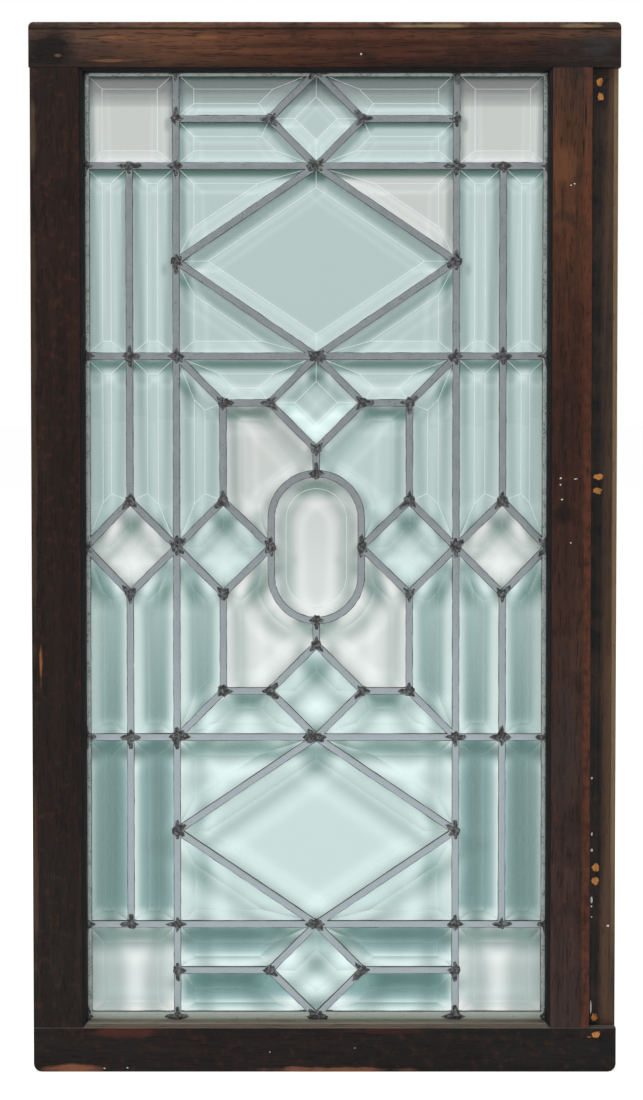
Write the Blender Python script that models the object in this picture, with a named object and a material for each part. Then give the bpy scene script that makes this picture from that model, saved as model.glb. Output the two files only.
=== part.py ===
"""A leaded window of bevelled glass in its wooden sash.

Metres, +Z up. The front faces -Y, and the origin is the middle of the underside.
The leaded panel is drawn in its own plan, u to the right and v up from its middle.
"""

import math

import bmesh
import bpy
from mathutils import Matrix, Vector
from mathutils.geometry import intersect_line_sphere_2d

# Fits
TOUCH_GAP = 0.0003  # between two pieces that bear on each other
SIDE_PLAY = 0.00325  # panel to the rebate at each side
END_PLAY = 0.0048  # panel to the rebate at head and sill
PANEL_LIFT = 0.0024  # the panel sits this much above the middle of its opening
CUT_MARGIN = 0.004  # how far a cutting shape runs past what it cuts

# Sash
SASH_WIDTH = 0.584
SASH_HEIGHT = 1.048
SASH_THICKNESS = 0.035
RAIL_FACE = 0.0445
LEFT_STILE_FACE = 0.049
RIGHT_STILE_FACE = 0.066
HEAD_OVERHANG = 0.0012  # the top rail's ends past the stiles
HEAD_CORNER_RADIUS = 0.005
FOOT_CORNER_RADIUS = 0.008
EDGE_REBATE_WIDTH = 0.027  # along the right stile's outer edge
EDGE_REBATE_DEPTH = 0.0095

# Moulding round the opening, and the glazing rebate behind it
STICKING_WIDTH = 0.0042
QUIRK_DEPTH = 0.0016
QUIRK_WIDTH = 0.001
OVOLO_DEPTH = 0.006
LIP_DEPTH = 0.013  # from the face of the sash to the rebate
REBATE_COVER = 0.009  # how far the rebate reaches behind the sight edge

# Stops nailed in behind the panel
STOP_SETBACK = 0.001  # from the back of the sash
STOP_ROUND = 0.005

# Cames
CAME_WIDTH = 0.00635
BORDER_CAME_WIDTH = 0.0095
HEART_THICKNESS = 0.0012
FLANGE_THICKNESS = 0.001
CAME_ARRIS = 0.0004

# Glass
GLASS_THICKNESS = 0.006
GLASS_EDGE_THICKNESS = 0.0025
BEVEL_WIDTH = 0.016
TIE_LENGTH = 0.004  # the tie between the two strips of a pair, inside the came
TIE_BITE = 0.0005  # how far a tie runs into the glass, and the trimmed heart past its own faces
TIE_SHY = 0.0002  # a tie is this much thinner than the glass edge at each face

# Pattern, from came centre line to came centre line
CORNER_WIDTH = 0.0913
CORNER_HEIGHT = 0.0937
MIDDLE_BAND = 0.383
DIAMOND_HEIGHT = 0.0934
OVAL_HEIGHT = 0.1476
OVAL_TUCK = 0.0015  # the oval's half width is this much less than a column
COLUMNS = 3  # from the middle of the panel to its corner squares

# Facets
CORNER_STEPS = 4
OVOLO_STEPS = 4
OVAL_STEPS = 12  # along one half turn of the oval
SHARP_ANGLE = math.radians(30)
PARALLEL = 1e-6  # two sides that turn less than this are one line

# Depths, front to back
FRONT = -SASH_THICKNESS / 2
BACK = SASH_THICKNESS / 2
LIP_BACK = FRONT + LIP_DEPTH
LEAD_FRONT = LIP_BACK + TOUCH_GAP


def glass_under(came_width):
    """How thick a pane is at the edge of the flange that covers it."""
    covered = (came_width - HEART_THICKNESS) / 2 - TOUCH_GAP
    return GLASS_EDGE_THICKNESS + (GLASS_THICKNESS - GLASS_EDGE_THICKNESS) * covered / BEVEL_WIDTH


CHANNEL = glass_under(max(CAME_WIDTH, BORDER_CAME_WIDTH)) + 2 * TOUCH_GAP
CHANNEL_FRONT = LEAD_FRONT + FLANGE_THICKNESS
CHANNEL_BACK = CHANNEL_FRONT + CHANNEL
LEAD_BACK = CHANNEL_BACK + FLANGE_THICKNESS
GLASS_BACK = CHANNEL_BACK - TOUCH_GAP
GLASS_EDGE_FRONT = GLASS_BACK - GLASS_EDGE_THICKNESS
GLASS_FRONT = GLASS_BACK - GLASS_THICKNESS
STOP_FRONT = LEAD_BACK + TOUCH_GAP
STOP_BACK = BACK - STOP_SETBACK

# Opening between the sash's faces, and the panel in it
FACE_LEFT = -SASH_WIDTH / 2 + LEFT_STILE_FACE
FACE_RIGHT = SASH_WIDTH / 2 - RIGHT_STILE_FACE
FACE_BOTTOM = RAIL_FACE
FACE_TOP = SASH_HEIGHT - RAIL_FACE
BEHIND_FACE = REBATE_COVER - STICKING_WIDTH
PANEL_MIDDLE = Vector(((FACE_LEFT + FACE_RIGHT) / 2, 0, (FACE_BOTTOM + FACE_TOP) / 2 + PANEL_LIFT))
BORDER_U = (FACE_RIGHT - FACE_LEFT) / 2 + BEHIND_FACE - SIDE_PLAY - BORDER_CAME_WIDTH / 2
BORDER_V = (FACE_TOP - FACE_BOTTOM) / 2 + BEHIND_FACE - END_PLAY - BORDER_CAME_WIDTH / 2

# Came lines of the pattern
COLUMN = (BORDER_U - CORNER_WIDTH) / COLUMNS
CORNER_U = BORDER_U - CORNER_WIDTH
CORNER_V = BORDER_V - CORNER_HEIGHT
BORDER_ROW_V = (BORDER_V + CORNER_V) / 2
BAND_V = MIDDLE_BAND / 2
BAND_ROW_V = (CORNER_V + BAND_V) / 2
POINT_V = DIAMOND_HEIGHT / 2
SHELF_V = BAND_V - POINT_V
STEM_V = SHELF_V - POINT_V
OVAL_U = COLUMN - OVAL_TUCK
OVAL_V = OVAL_HEIGHT / 2


def clear_scene():
    for old in list(bpy.data.objects):
        bpy.data.objects.remove(old, do_unlink=True)


def material(name, colour, roughness, metallic=0.0, transmission=0.0):
    made = bpy.data.materials.new(name)
    made.use_nodes = True
    shader = made.node_tree.nodes["Principled BSDF"]
    shader.inputs["Base Color"].default_value = (*colour, 1)
    shader.inputs["Roughness"].default_value = roughness
    shader.inputs["Metallic"].default_value = metallic
    shader.inputs["Transmission Weight"].default_value = transmission
    made.diffuse_color = (*colour, 1)
    return made


def add_object(name, bm, finish=None, parent=None):
    """Turns a finished bmesh into an object."""
    mesh = bpy.data.meshes.new(name)
    bm.to_mesh(mesh)
    bm.free()
    made = bpy.data.objects.new(name, mesh)
    made.parent = parent
    if finish:
        mesh.materials.append(finish)
    bpy.context.scene.collection.objects.link(made)
    return made


def as_helper(helper):
    helper.hide_render = True
    helper.display_type = "WIRE"
    return helper


def add_boolean(target, operation, other):
    cut = target.modifiers.new(operation.title(), "BOOLEAN")
    cut.operation = operation
    cut.solver = "EXACT"
    cut.object = other


def add_empty(name, place, parent=None):
    made = bpy.data.objects.new(name, None)
    made.location = place
    made.parent = parent
    bpy.context.scene.collection.objects.link(made)
    return made


def face_outwards(bm, faces):
    """Points the faces of one closed body outwards. The sum is three times its volume."""
    bmesh.ops.recalc_face_normals(bm, faces=faces)
    if sum(face.calc_center_median().dot(face.normal) * face.calc_area() for face in faces) < 0:
        bmesh.ops.reverse_faces(bm, faces=faces)


# Outlines in plan: lists of points, anticlockwise

def points(*pairs):
    return [Vector(pair) for pair in pairs]


def inset(outline, distances):
    """Moves each side inwards by its own distance. Side i runs from point i to the next."""
    count = len(outline)
    if not isinstance(distances, (list, tuple)):
        distances = [distances] * count
    moved = []
    for index, here in enumerate(outline):
        along_in = (here - outline[index - 1]).normalized()
        along_out = (outline[(index + 1) % count] - here).normalized()
        left_in = Vector((-along_in.y, along_in.x))
        left_out = Vector((-along_out.y, along_out.x))
        turn = left_in.cross(left_out)
        near, far = distances[index - 1], distances[index]
        if abs(turn) < PARALLEL:
            moved.append(here + left_in * near)
        else:
            back = (near * left_in.dot(left_out) - far) / turn
            moved.append(here + along_in * back + left_in * near)
    return moved


def rounded(outline, corners, radius):
    """Rounds the corners whose numbers are given."""
    result = []
    for index, here in enumerate(outline):
        if index not in corners:
            result.append(here)
            continue
        back = (outline[index - 1] - here).normalized()
        ahead = (outline[(index + 1) % len(outline)] - here).normalized()
        half = back.angle(ahead) / 2
        centre = here + (back + ahead).normalized() * radius / math.sin(half)
        start = here + back * radius / math.tan(half) - centre
        sweep = math.pi - 2 * half
        for step in range(CORNER_STEPS + 1):
            result.append(centre + Matrix.Rotation(sweep * step / CORNER_STEPS, 2) @ start)
    return result


def mirrored(outline, flip_u, flip_v):
    moved = [Vector((-p.x if flip_u else p.x, -p.y if flip_v else p.y)) for p in outline]
    return moved[::-1] if flip_u != flip_v else moved


def prism(outline, front, back):
    """A bmesh of the outline run from one depth to another."""
    bm = bmesh.new()
    face = bm.faces.new([bm.verts.new((p.x, front, p.y)) for p in outline])
    run = bmesh.ops.extrude_face_region(bm, geom=[face])
    moved = [item for item in run["geom"] if isinstance(item, bmesh.types.BMVert)]
    bmesh.ops.translate(bm, verts=moved, vec=(0, back - front, 0))
    face_outwards(bm, bm.faces[:])
    return bm


def add_block(bm, low, high):
    """Adds the box between two corners."""
    size = Vector(high) - Vector(low)
    made = bmesh.ops.create_cube(bm, size=1)["verts"]
    bmesh.ops.scale(bm, verts=made, vec=size)
    bmesh.ops.translate(bm, verts=made, vec=Vector(low) + size / 2)


def block(low, high):
    bm = bmesh.new()
    add_block(bm, low, high)
    return bm


# Loops of points at their depths, joined one to the next

def add_loop(bm, outline, depth):
    return [bm.verts.new((p.x, depth, p.y)) for p in outline]


def bridge(bm, loops):
    """Joins each loop to the next, point to point, and gives back the new faces."""
    faces = []
    for first, second in zip(loops, loops[1:]):
        for index in range(len(first)):
            faces.append(bm.faces.new((first[index - 1], second[index - 1], second[index], first[index])))
    return faces


def stepped(bm, loops):
    """A closed solid through like loops, one above the next."""
    faces = bridge(bm, loops)
    faces += [bm.faces.new(loops[0]), bm.faces.new(loops[-1][::-1])]
    face_outwards(bm, faces)


# Sash

def opening(reach):
    """The rectangle between the sash's faces, made smaller by a reach into the opening."""
    return points(
        (FACE_LEFT + reach, FACE_BOTTOM + reach),
        (FACE_RIGHT - reach, FACE_BOTTOM + reach),
        (FACE_RIGHT - reach, FACE_TOP - reach),
        (FACE_LEFT + reach, FACE_TOP - reach),
    )


def ring(name, section):
    """A hidden frame with mitred corners, from a closed section of (outline, depth) pairs."""
    bm = bmesh.new()
    loops = [add_loop(bm, outline, depth) for outline, depth in section]
    face_outwards(bm, bridge(bm, loops + loops[:1]))
    return as_helper(add_object(name, bm))


def sash_section():
    """The section of the sash at every side of the opening, wider than any of its members."""
    outside = -(max(LEFT_STILE_FACE, RIGHT_STILE_FACE, RAIL_FACE) + CUT_MARGIN)
    section = [
        (opening(outside), FRONT),
        (opening(0), FRONT),
        (opening(0), FRONT + QUIRK_DEPTH),
    ]
    for step in range(OVOLO_STEPS + 1):
        turn = math.pi / 2 * step / OVOLO_STEPS
        reach = QUIRK_WIDTH + (STICKING_WIDTH - QUIRK_WIDTH) * math.sin(turn)
        section.append((opening(reach), FRONT + QUIRK_DEPTH + OVOLO_DEPTH * (1 - math.cos(turn))))
    return section + [
        (opening(STICKING_WIDTH), LIP_BACK),
        (opening(-BEHIND_FACE), LIP_BACK),
        (opening(-BEHIND_FACE), BACK),
        (opening(outside), BACK),
    ]


def member(name, outline, section, wood, parent):
    """One piece of a frame: its plan cut from the frame's section."""
    made = add_object(name, prism(outline, FRONT - CUT_MARGIN, BACK + CUT_MARGIN), wood, parent)
    add_boolean(made, "INTERSECT", section)
    return made


def rail_outline(overhang, radius):
    """The plan of the rail at the foot of the sash, mitred at the moulding only."""
    reach = STICKING_WIDTH + CUT_MARGIN
    half = SASH_WIDTH / 2 + overhang
    outline = points(
        (-half, 0),
        (half, 0),
        (half, FACE_BOTTOM),
        (FACE_RIGHT, FACE_BOTTOM),
        (FACE_RIGHT - reach, FACE_BOTTOM + reach),
        (FACE_LEFT + reach, FACE_BOTTOM + reach),
        (FACE_LEFT, FACE_BOTTOM),
        (-half, FACE_BOTTOM),
    )
    joint = TOUCH_GAP / 2
    return rounded(inset(outline, [0, 0, joint, joint, 0, joint, joint, 0]), (0, 1), radius)


def head_outline():
    """The top rail is the foot's plan turned over, with its own ends and corners."""
    plan = rail_outline(HEAD_OVERHANG, HEAD_CORNER_RADIUS)
    return [Vector((0, SASH_HEIGHT)) + point for point in mirrored(plan, False, True)]


def stile_outline(outer, face, inwards):
    """The plan of a stile between the rails. Inwards is 1 or -1, the way from it to the glass."""
    reach = STICKING_WIDTH + CUT_MARGIN
    joint = TOUCH_GAP / 2
    outline = points(
        (outer, FACE_BOTTOM),
        (face, FACE_BOTTOM),
        (face + inwards * reach, FACE_BOTTOM + reach),
        (face + inwards * reach, FACE_TOP - reach),
        (face, FACE_TOP),
        (outer, FACE_TOP),
    )
    return inset(outline[::inwards], [joint, joint, 0, joint, joint, 0])


def build_sash(wood, parent):
    section = ring("sash_section", sash_section())
    left_plan = stile_outline(-SASH_WIDTH / 2, FACE_LEFT, 1)
    right_plan = stile_outline(SASH_WIDTH / 2, FACE_RIGHT, -1)
    member("bottom_rail", rail_outline(0, FOOT_CORNER_RADIUS), section, wood, parent)
    member("top_rail", head_outline(), section, wood, parent)
    member("left_stile", left_plan, section, wood, parent)
    right = member("right_stile", right_plan, section, wood, parent)
    low = (SASH_WIDTH / 2 - EDGE_REBATE_WIDTH, FRONT - CUT_MARGIN, 0)
    high = (SASH_WIDTH / 2 + CUT_MARGIN, FRONT + EDGE_REBATE_DEPTH, SASH_HEIGHT)
    add_boolean(right, "DIFFERENCE", as_helper(add_object("edge_rebate_cutter", block(low, high))))


# Glazing stops

def stop_section():
    section = [(opening(TOUCH_GAP - BEHIND_FACE), STOP_FRONT), (opening(STICKING_WIDTH), STOP_FRONT)]
    for step in range(CORNER_STEPS + 1):
        turn = math.pi / 2 * step / CORNER_STEPS
        reach = STICKING_WIDTH - STOP_ROUND * (1 - math.cos(turn))
        section.append((opening(reach), STOP_BACK - STOP_ROUND * (1 - math.sin(turn))))
    return section + [(opening(TOUCH_GAP - BEHIND_FACE), STOP_BACK)]


def build_stops(wood, parent):
    """Four strips with mitred corners."""
    section = ring("stop_section", stop_section())
    outer = opening(-BEHIND_FACE - CUT_MARGIN)
    inner = opening(STICKING_WIDTH + CUT_MARGIN)
    joint = TOUCH_GAP / 2
    for index, side in enumerate(("bottom", "right", "top", "left")):
        after = (index + 1) % len(outer)
        outline = [outer[index], outer[after], inner[after], inner[index]]
        member(f"{side}_stop", inset(outline, [0, joint, 0, joint]), section, wood, parent)


# Cells of the pattern, as came centre lines. Each is drawn top right and mirrored

class Cell:
    """A pane's place between the cames: a straight-sided one, or one with its own outline rule."""

    def __init__(self, corners=None, rule=None, flip_u=False, flip_v=False):
        self.corners = corners
        self.rule = rule
        self.flip_u = flip_u
        self.flip_v = flip_v

    def outline(self, inner, border=None):
        """The cell drawn smaller by one distance at inner cames and another at the border."""
        border = inner if border is None else border
        if self.rule:
            return mirrored(self.rule(inner), self.flip_u, self.flip_v)
        ends = zip(self.corners, self.corners[1:] + self.corners[:1])
        distances = [border if on_border(*pair) else inner for pair in ends]
        return mirrored(inset(self.corners, distances), self.flip_u, self.flip_v)


def on_border(start, end):
    at_side = min(start.x, end.x) > BORDER_U - TOUCH_GAP
    at_head = min(start.y, end.y) > BORDER_V - TOUCH_GAP
    return at_side or at_head


def oval(distance):
    """Straight sides and half-round ends, anticlockwise from the lower right."""
    radius = OVAL_U - distance
    result = []
    for centre, start in ((OVAL_V - OVAL_U, 0), (OVAL_U - OVAL_V, math.pi)):
        for step in range(OVAL_STEPS + 1):
            turn = start + math.pi * step / OVAL_STEPS
            result.append(Vector((radius * math.cos(turn), centre + radius * math.sin(turn))))
    return result


def arched(distance):
    """The pane between the oval, a side diamond, a middle diamond and the angled strip."""
    straight = points(
        (OVAL_U, 0), (2 * COLUMN, POINT_V), (2 * COLUMN, SHELF_V), (COLUMN, SHELF_V), (0, STEM_V), (0, OVAL_V)
    )
    corners = inset(straight, distance)
    lower = corners[1]
    slope = straight[0] - straight[1]
    radius = OVAL_U + distance
    centre = Vector((0, OVAL_V - OVAL_U))
    foot = lower + slope * (lower.x - radius) / -slope.x
    first, last, steps = 0, math.acos(distance / radius), OVAL_STEPS - 1
    if foot.y > centre.y:
        crossings = intersect_line_sphere_2d(lower, lower + slope, centre, radius, False)
        foot = min(crossings, key=lambda crossing: (crossing - lower).length)
        first, steps = math.atan2(foot.y - centre.y, foot.x - centre.x), OVAL_STEPS
    turns = [last + (first - last) * step / steps for step in range(steps + 1)]
    curve = [centre + Vector((math.cos(turn), math.sin(turn))) * radius for turn in turns]
    return corners[1:5] + curve + [foot] * (OVAL_STEPS - steps)


def diamond(left, right, bottom, top, middle_u=0, flip_u=False, flip_v=False):
    """A four-sided cell with a point at the middle of each side of its box."""
    middle_v = (bottom + top) / 2
    corners = points((middle_u, bottom), (right, middle_v), (middle_u, top), (left, middle_v))
    return Cell(corners, None, flip_u, flip_v)


def pattern_cells():
    """Every cell by name. A pair of strips is two cells in one list."""
    inner_u, outer_u = COLUMNS * COLUMN, (COLUMNS + 1) * COLUMN
    quarter = {
        "corner_square": (points(
            (CORNER_U, CORNER_V), (BORDER_U, CORNER_V), (BORDER_U, BORDER_V), (CORNER_U, BORDER_V)),),
        "outer_trapezoid": (points(
            (COLUMN, BORDER_ROW_V), (inner_u, BORDER_ROW_V), (inner_u, BORDER_V), (0, BORDER_V)),),
        "inner_trapezoid": (points(
            (0, CORNER_V), (inner_u, CORNER_V), (inner_u, BORDER_ROW_V), (COLUMN, BORDER_ROW_V)),),
        "high_triangle": (points((inner_u, BAND_ROW_V), (inner_u, CORNER_V), (0, CORNER_V)),),
        "low_triangle": (points((0, BAND_V), (inner_u, BAND_V), (inner_u, BAND_ROW_V)),),
        "strip_pair": (
            points((inner_u, BAND_V), (outer_u, BAND_V), (outer_u, CORNER_V), (inner_u, CORNER_V)),
            points((outer_u, BAND_V), (BORDER_U, BAND_V), (BORDER_U, CORNER_V), (outer_u, CORNER_V)),
        ),
        "cut_strip_pair": (
            points((inner_u, 0), (outer_u, POINT_V), (outer_u, BAND_V), (inner_u, BAND_V)),
            points((outer_u, POINT_V), (BORDER_U, 0), (BORDER_U, BAND_V), (outer_u, BAND_V)),
        ),
        "angled_strip": (points(
            (2 * COLUMN, POINT_V), (inner_u, 0), (inner_u, BAND_V), (2 * COLUMN, SHELF_V)),),
        "shelf_trapezoid": (points(
            (COLUMN, SHELF_V), (2 * COLUMN, SHELF_V), (inner_u, BAND_V), (0, BAND_V)),),
    }
    cells = {}
    for flip_v, end in ((False, "top"), (True, "bottom")):
        for flip_u, side in ((False, "right"), (True, "left")):
            for name, parts in quarter.items():
                cells[f"{name}_{end}_{side}"] = [Cell(part, None, flip_u, flip_v) for part in parts]
            cells[f"arched_pane_{end}_{side}"] = [Cell(None, arched, flip_u, flip_v)]
        cells[f"border_diamond_{end}"] = [diamond(-COLUMN, COLUMN, CORNER_V, BORDER_V, flip_v=flip_v)]
        cells[f"large_diamond_{end}"] = [diamond(-inner_u, inner_u, BAND_V, CORNER_V, flip_v=flip_v)]
        cells[f"middle_diamond_{end}"] = [diamond(-COLUMN, COLUMN, STEM_V, BAND_V, flip_v=flip_v)]
    for flip_u, side in ((False, "right"), (True, "left")):
        cells[f"outer_diamond_{side}"] = [diamond(inner_u, BORDER_U, -POINT_V, POINT_V, outer_u, flip_u)]
        cells[f"inner_diamond_{side}"] = [diamond(OVAL_U, inner_u, -POINT_V, POINT_V, 2 * COLUMN, flip_u)]
    cells["oval_pane"] = [Cell(None, oval)]
    return cells


# Lead

def came_levels():
    """(depth, edge) pairs through a came: how far each side stands from the line at each depth."""
    return (
        (LEAD_FRONT, "face"), (LEAD_FRONT + CAME_ARRIS, "flange"), (CHANNEL_FRONT, "flange"),
        (CHANNEL_FRONT, "heart"), (CHANNEL_BACK, "heart"),
        (CHANNEL_BACK, "flange"), (LEAD_BACK - CAME_ARRIS, "flange"), (LEAD_BACK, "face"),
    )


def half_widths(came_width):
    return {
        "face": came_width / 2 - CAME_ARRIS,
        "flange": came_width / 2,
        "heart": HEART_THICKNESS / 2,
    }


def panel_edge(distance):
    """The outer rectangle of the border came, this far outside its centre line."""
    wide, high = BORDER_U + distance, BORDER_V + distance
    return points((-wide, -high), (wide, -high), (wide, high), (-wide, high))


def tie_place(parts):
    """The middle of the came between the two strips of a pair."""
    first, second = (cell.outline(0) for cell in parts)
    shared = [p for p in first if min((p - q).length for q in second) < TOUCH_GAP]
    return (shared[0] + shared[1]) / 2


def tie_corners(place, half_u, front, back, half_v):
    return (place.x - half_u, front, place.y - half_v), (place.x + half_u, back, place.y + half_v)


def heart_cutter(pairs, parent):
    """The short lengths of heart that are trimmed back round the ties."""
    bm = bmesh.new()
    half_u = HEART_THICKNESS / 2 + TIE_BITE
    half_v = TIE_LENGTH / 2 + TOUCH_GAP
    for parts in pairs:
        add_block(bm, *tie_corners(
            tie_place(parts), half_u, CHANNEL_FRONT - TIE_SHY, CHANNEL_BACK + TIE_SHY, half_v))
    return as_helper(add_object("heart_cutter", bm, parent=parent))


def pane_cutter(cells, parent):
    """The stepped hole that the cames leave for every pane, run out past both faces."""
    bm = bmesh.new()
    inner, border = half_widths(CAME_WIDTH), half_widths(BORDER_CAME_WIDTH)
    levels = came_levels()
    levels = ((LEAD_FRONT - CUT_MARGIN, "face"),) + levels + ((LEAD_BACK + CUT_MARGIN, "face"),)
    for parts in cells.values():
        for cell in parts:
            outlines = [(cell.outline(inner[edge], border[edge]), depth) for depth, edge in levels]
            stepped(bm, [add_loop(bm, outline, depth) for outline, depth in outlines])
    return as_helper(add_object("pane_cutter", bm, parent=parent))


def build_lead(cells, lead, parent):
    """All the cames soldered into one net: the border's outside, less a stepped hole for each pane."""
    bm = bmesh.new()
    border = half_widths(BORDER_CAME_WIDTH)
    stepped(bm, [add_loop(bm, panel_edge(border[edge]), depth) for depth, edge in came_levels()])
    net = add_object("lead_cames", bm, lead, parent)
    add_boolean(net, "DIFFERENCE", pane_cutter(cells, parent))
    pairs = [parts for parts in cells.values() if len(parts) == 2]
    add_boolean(net, "DIFFERENCE", heart_cutter(pairs, parent))


# Glass

def add_pane(bm, cell):
    """A flat back, a thin edge, a bevel all round and the raised table."""
    edge = HEART_THICKNESS / 2 + TOUCH_GAP
    loops = [
        add_loop(bm, cell.outline(edge), GLASS_BACK),
        add_loop(bm, cell.outline(edge), GLASS_EDGE_FRONT),
        add_loop(bm, cell.outline(edge + BEVEL_WIDTH), GLASS_FRONT),
    ]
    stepped(bm, loops)


def build_glass(cells, glass, parent):
    for name, parts in cells.items():
        bm = bmesh.new()
        for cell in parts:
            add_pane(bm, cell)
        pane = add_object(name, bm, glass, parent)
        if len(parts) == 2:
            half_u = HEART_THICKNESS / 2 + TOUCH_GAP + TIE_BITE
            low, high = tie_corners(
                tie_place(parts), half_u, GLASS_EDGE_FRONT + TIE_SHY, GLASS_BACK - TIE_SHY, TIE_LENGTH / 2)
            tie = as_helper(add_object(f"{name}_tie", block(low, high), parent=parent))
            add_boolean(pane, "UNION", tie)


def shade(names):
    """Smooth shading on the pieces with curved edges, their arrises kept sharp."""
    for name in names:
        mesh = bpy.data.objects[name].data
        mesh.shade_smooth()
        mesh.set_sharp_from_angle(angle=SHARP_ANGLE)


def main():
    clear_scene()
    window = add_empty("window", (0, 0, 0))
    panel = add_empty("leaded_panel", PANEL_MIDDLE, window)
    wood = material("mahogany", (0.055, 0.022, 0.014), 0.45)
    pine = material("stop_wood", (0.10, 0.045, 0.025), 0.6)
    lead = material("lead", (0.22, 0.22, 0.24), 0.5, 0.9)
    glass = material("bevelled_glass", (0.86, 0.93, 0.91), 0.02, 0.0, 1.0)
    build_sash(wood, window)
    build_stops(pine, window)
    cells = pattern_cells()
    build_lead(cells, lead, panel)
    build_glass(cells, glass, panel)
    shade(["oval_pane"] + [name for name in cells if name.startswith("arched_pane")])


main()
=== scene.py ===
"""A leaded window of bevelled glass in its old wooden sash, dressed and lit.

Metres, +Z up, front facing -Y, as in the frame. The leaded panel has its own plan: u to the
right and v up from the middle of the oval pane.
"""

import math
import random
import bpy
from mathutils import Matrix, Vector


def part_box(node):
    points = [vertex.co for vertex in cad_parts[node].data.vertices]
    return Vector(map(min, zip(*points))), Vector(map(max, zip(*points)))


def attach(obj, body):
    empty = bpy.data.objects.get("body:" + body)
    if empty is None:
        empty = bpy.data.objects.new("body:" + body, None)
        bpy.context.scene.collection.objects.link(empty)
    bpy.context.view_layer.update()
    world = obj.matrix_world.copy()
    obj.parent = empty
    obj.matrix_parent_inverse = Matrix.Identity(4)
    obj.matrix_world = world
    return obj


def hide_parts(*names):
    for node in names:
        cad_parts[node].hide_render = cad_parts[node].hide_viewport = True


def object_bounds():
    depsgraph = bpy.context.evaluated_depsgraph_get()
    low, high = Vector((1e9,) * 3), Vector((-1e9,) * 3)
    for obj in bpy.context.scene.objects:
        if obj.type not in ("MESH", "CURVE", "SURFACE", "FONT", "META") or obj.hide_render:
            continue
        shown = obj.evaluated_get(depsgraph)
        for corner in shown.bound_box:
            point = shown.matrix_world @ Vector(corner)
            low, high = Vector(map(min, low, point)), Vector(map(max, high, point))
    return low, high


bl_info = {
    "name": "Bevelled Glass Window",
    "version": (1, 0, 0),
    "blender": (4, 5, 0),
    "location": "View3D > Sidebar > Window",
    "description": "Sash, leadwork and bevelled panes of an old leaded window",
    "category": "Object",
}

import bmesh
import bpy
import numpy as np
from mathutils import Matrix, Vector, noise

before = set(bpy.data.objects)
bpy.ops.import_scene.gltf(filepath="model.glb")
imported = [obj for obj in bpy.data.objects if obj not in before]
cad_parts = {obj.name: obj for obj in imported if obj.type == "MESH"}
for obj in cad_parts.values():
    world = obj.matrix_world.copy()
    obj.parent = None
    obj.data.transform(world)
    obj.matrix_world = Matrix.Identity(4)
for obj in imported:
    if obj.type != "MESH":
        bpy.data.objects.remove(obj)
CAD_LOW, CAD_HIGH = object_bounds()

# Measures taken from the frame
OVAL_LOW, OVAL_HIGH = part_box("oval_pane")
LEAD_LOW, LEAD_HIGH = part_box("lead_cames")
SQUARE_LOW, SQUARE_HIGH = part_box("corner_square_top_right")
STRIP_LOW, STRIP_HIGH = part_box("strip_pair_top_right")
SHELF_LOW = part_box("shelf_trapezoid_top_right")[0]
MIDDLE = (OVAL_LOW + OVAL_HIGH) / 2
HEART_REACH = (SQUARE_LOW.z - STRIP_HIGH.z) / 2  # came line to the edge of a pane

BORDER_U = SQUARE_HIGH.x + HEART_REACH - MIDDLE.x
BORDER_V = SQUARE_HIGH.z + HEART_REACH - MIDDLE.z
CORNER_U = SQUARE_LOW.x - HEART_REACH - MIDDLE.x
CORNER_V = SQUARE_LOW.z - HEART_REACH - MIDDLE.z
BAND_V = STRIP_LOW.z - HEART_REACH - MIDDLE.z
BORDER_ROW_V = (BORDER_V + CORNER_V) / 2
COLUMN = CORNER_U / 3
OUTER_U = CORNER_U + COLUMN
POINT_V = BAND_V - (SHELF_LOW.z - HEART_REACH - MIDDLE.z)
SHELF_V = BAND_V - POINT_V
STEM_V = SHELF_V - POINT_V
OVAL_U = OVAL_HIGH.x + HEART_REACH - MIDDLE.x
OVAL_V = OVAL_HIGH.z + HEART_REACH - MIDDLE.z

LEAD_FRONT, LEAD_BACK = LEAD_LOW.y, LEAD_HIGH.y
GLASS_FRONT, GLASS_BACK = OVAL_LOW.y, OVAL_HIGH.y
SASH_FRONT = CAD_LOW.y

STICKING = 0.0042  # the moulding worked on the inner edges of the sash
SIGHT_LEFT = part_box("left_stile")[1].x - STICKING
SIGHT_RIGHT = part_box("right_stile")[0].x + STICKING
SIGHT_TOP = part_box("top_rail")[0].z + STICKING
SIGHT_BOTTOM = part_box("bottom_rail")[1].z - STICKING
EDGE_STEP = CAD_HIGH.x - 0.0282  # where the right stile steps back to its outer rebate
STEP_DEPTH = 0.0095
DUST_PITCH = 0.0036  # between the lines of dust on the moulding at the foot

# Small sizes of the finish
CHIP_DEPTH = 0.0014
FLECK_DEPTH = 0.0002
FLECK_SINK = 0.0001  # of a fleck's middle behind the face it lies on
FLANGE_SIDES = 14  # faces round a came's section
CAME_STEP = 0.008  # between the rings of a came
CAME_DRIFT = 0.00016  # how far a came strays aside
CAME_WAVE = 0.00012  # and back and forth
BEAD_SIDES = 6
BEAD_STEP_FRONT, BEAD_STEP_BACK = 0.0045, 0.012
BEAD_FLATNESS = 0.75
SOLDER_HEIGHT = 0.0012
SOLDER_SINK = 0.0003  # of a joint's middle in the came it lies on

MERGE = 1e-5  # joins points this near
HAIR = 1e-4  # too small to matter

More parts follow.
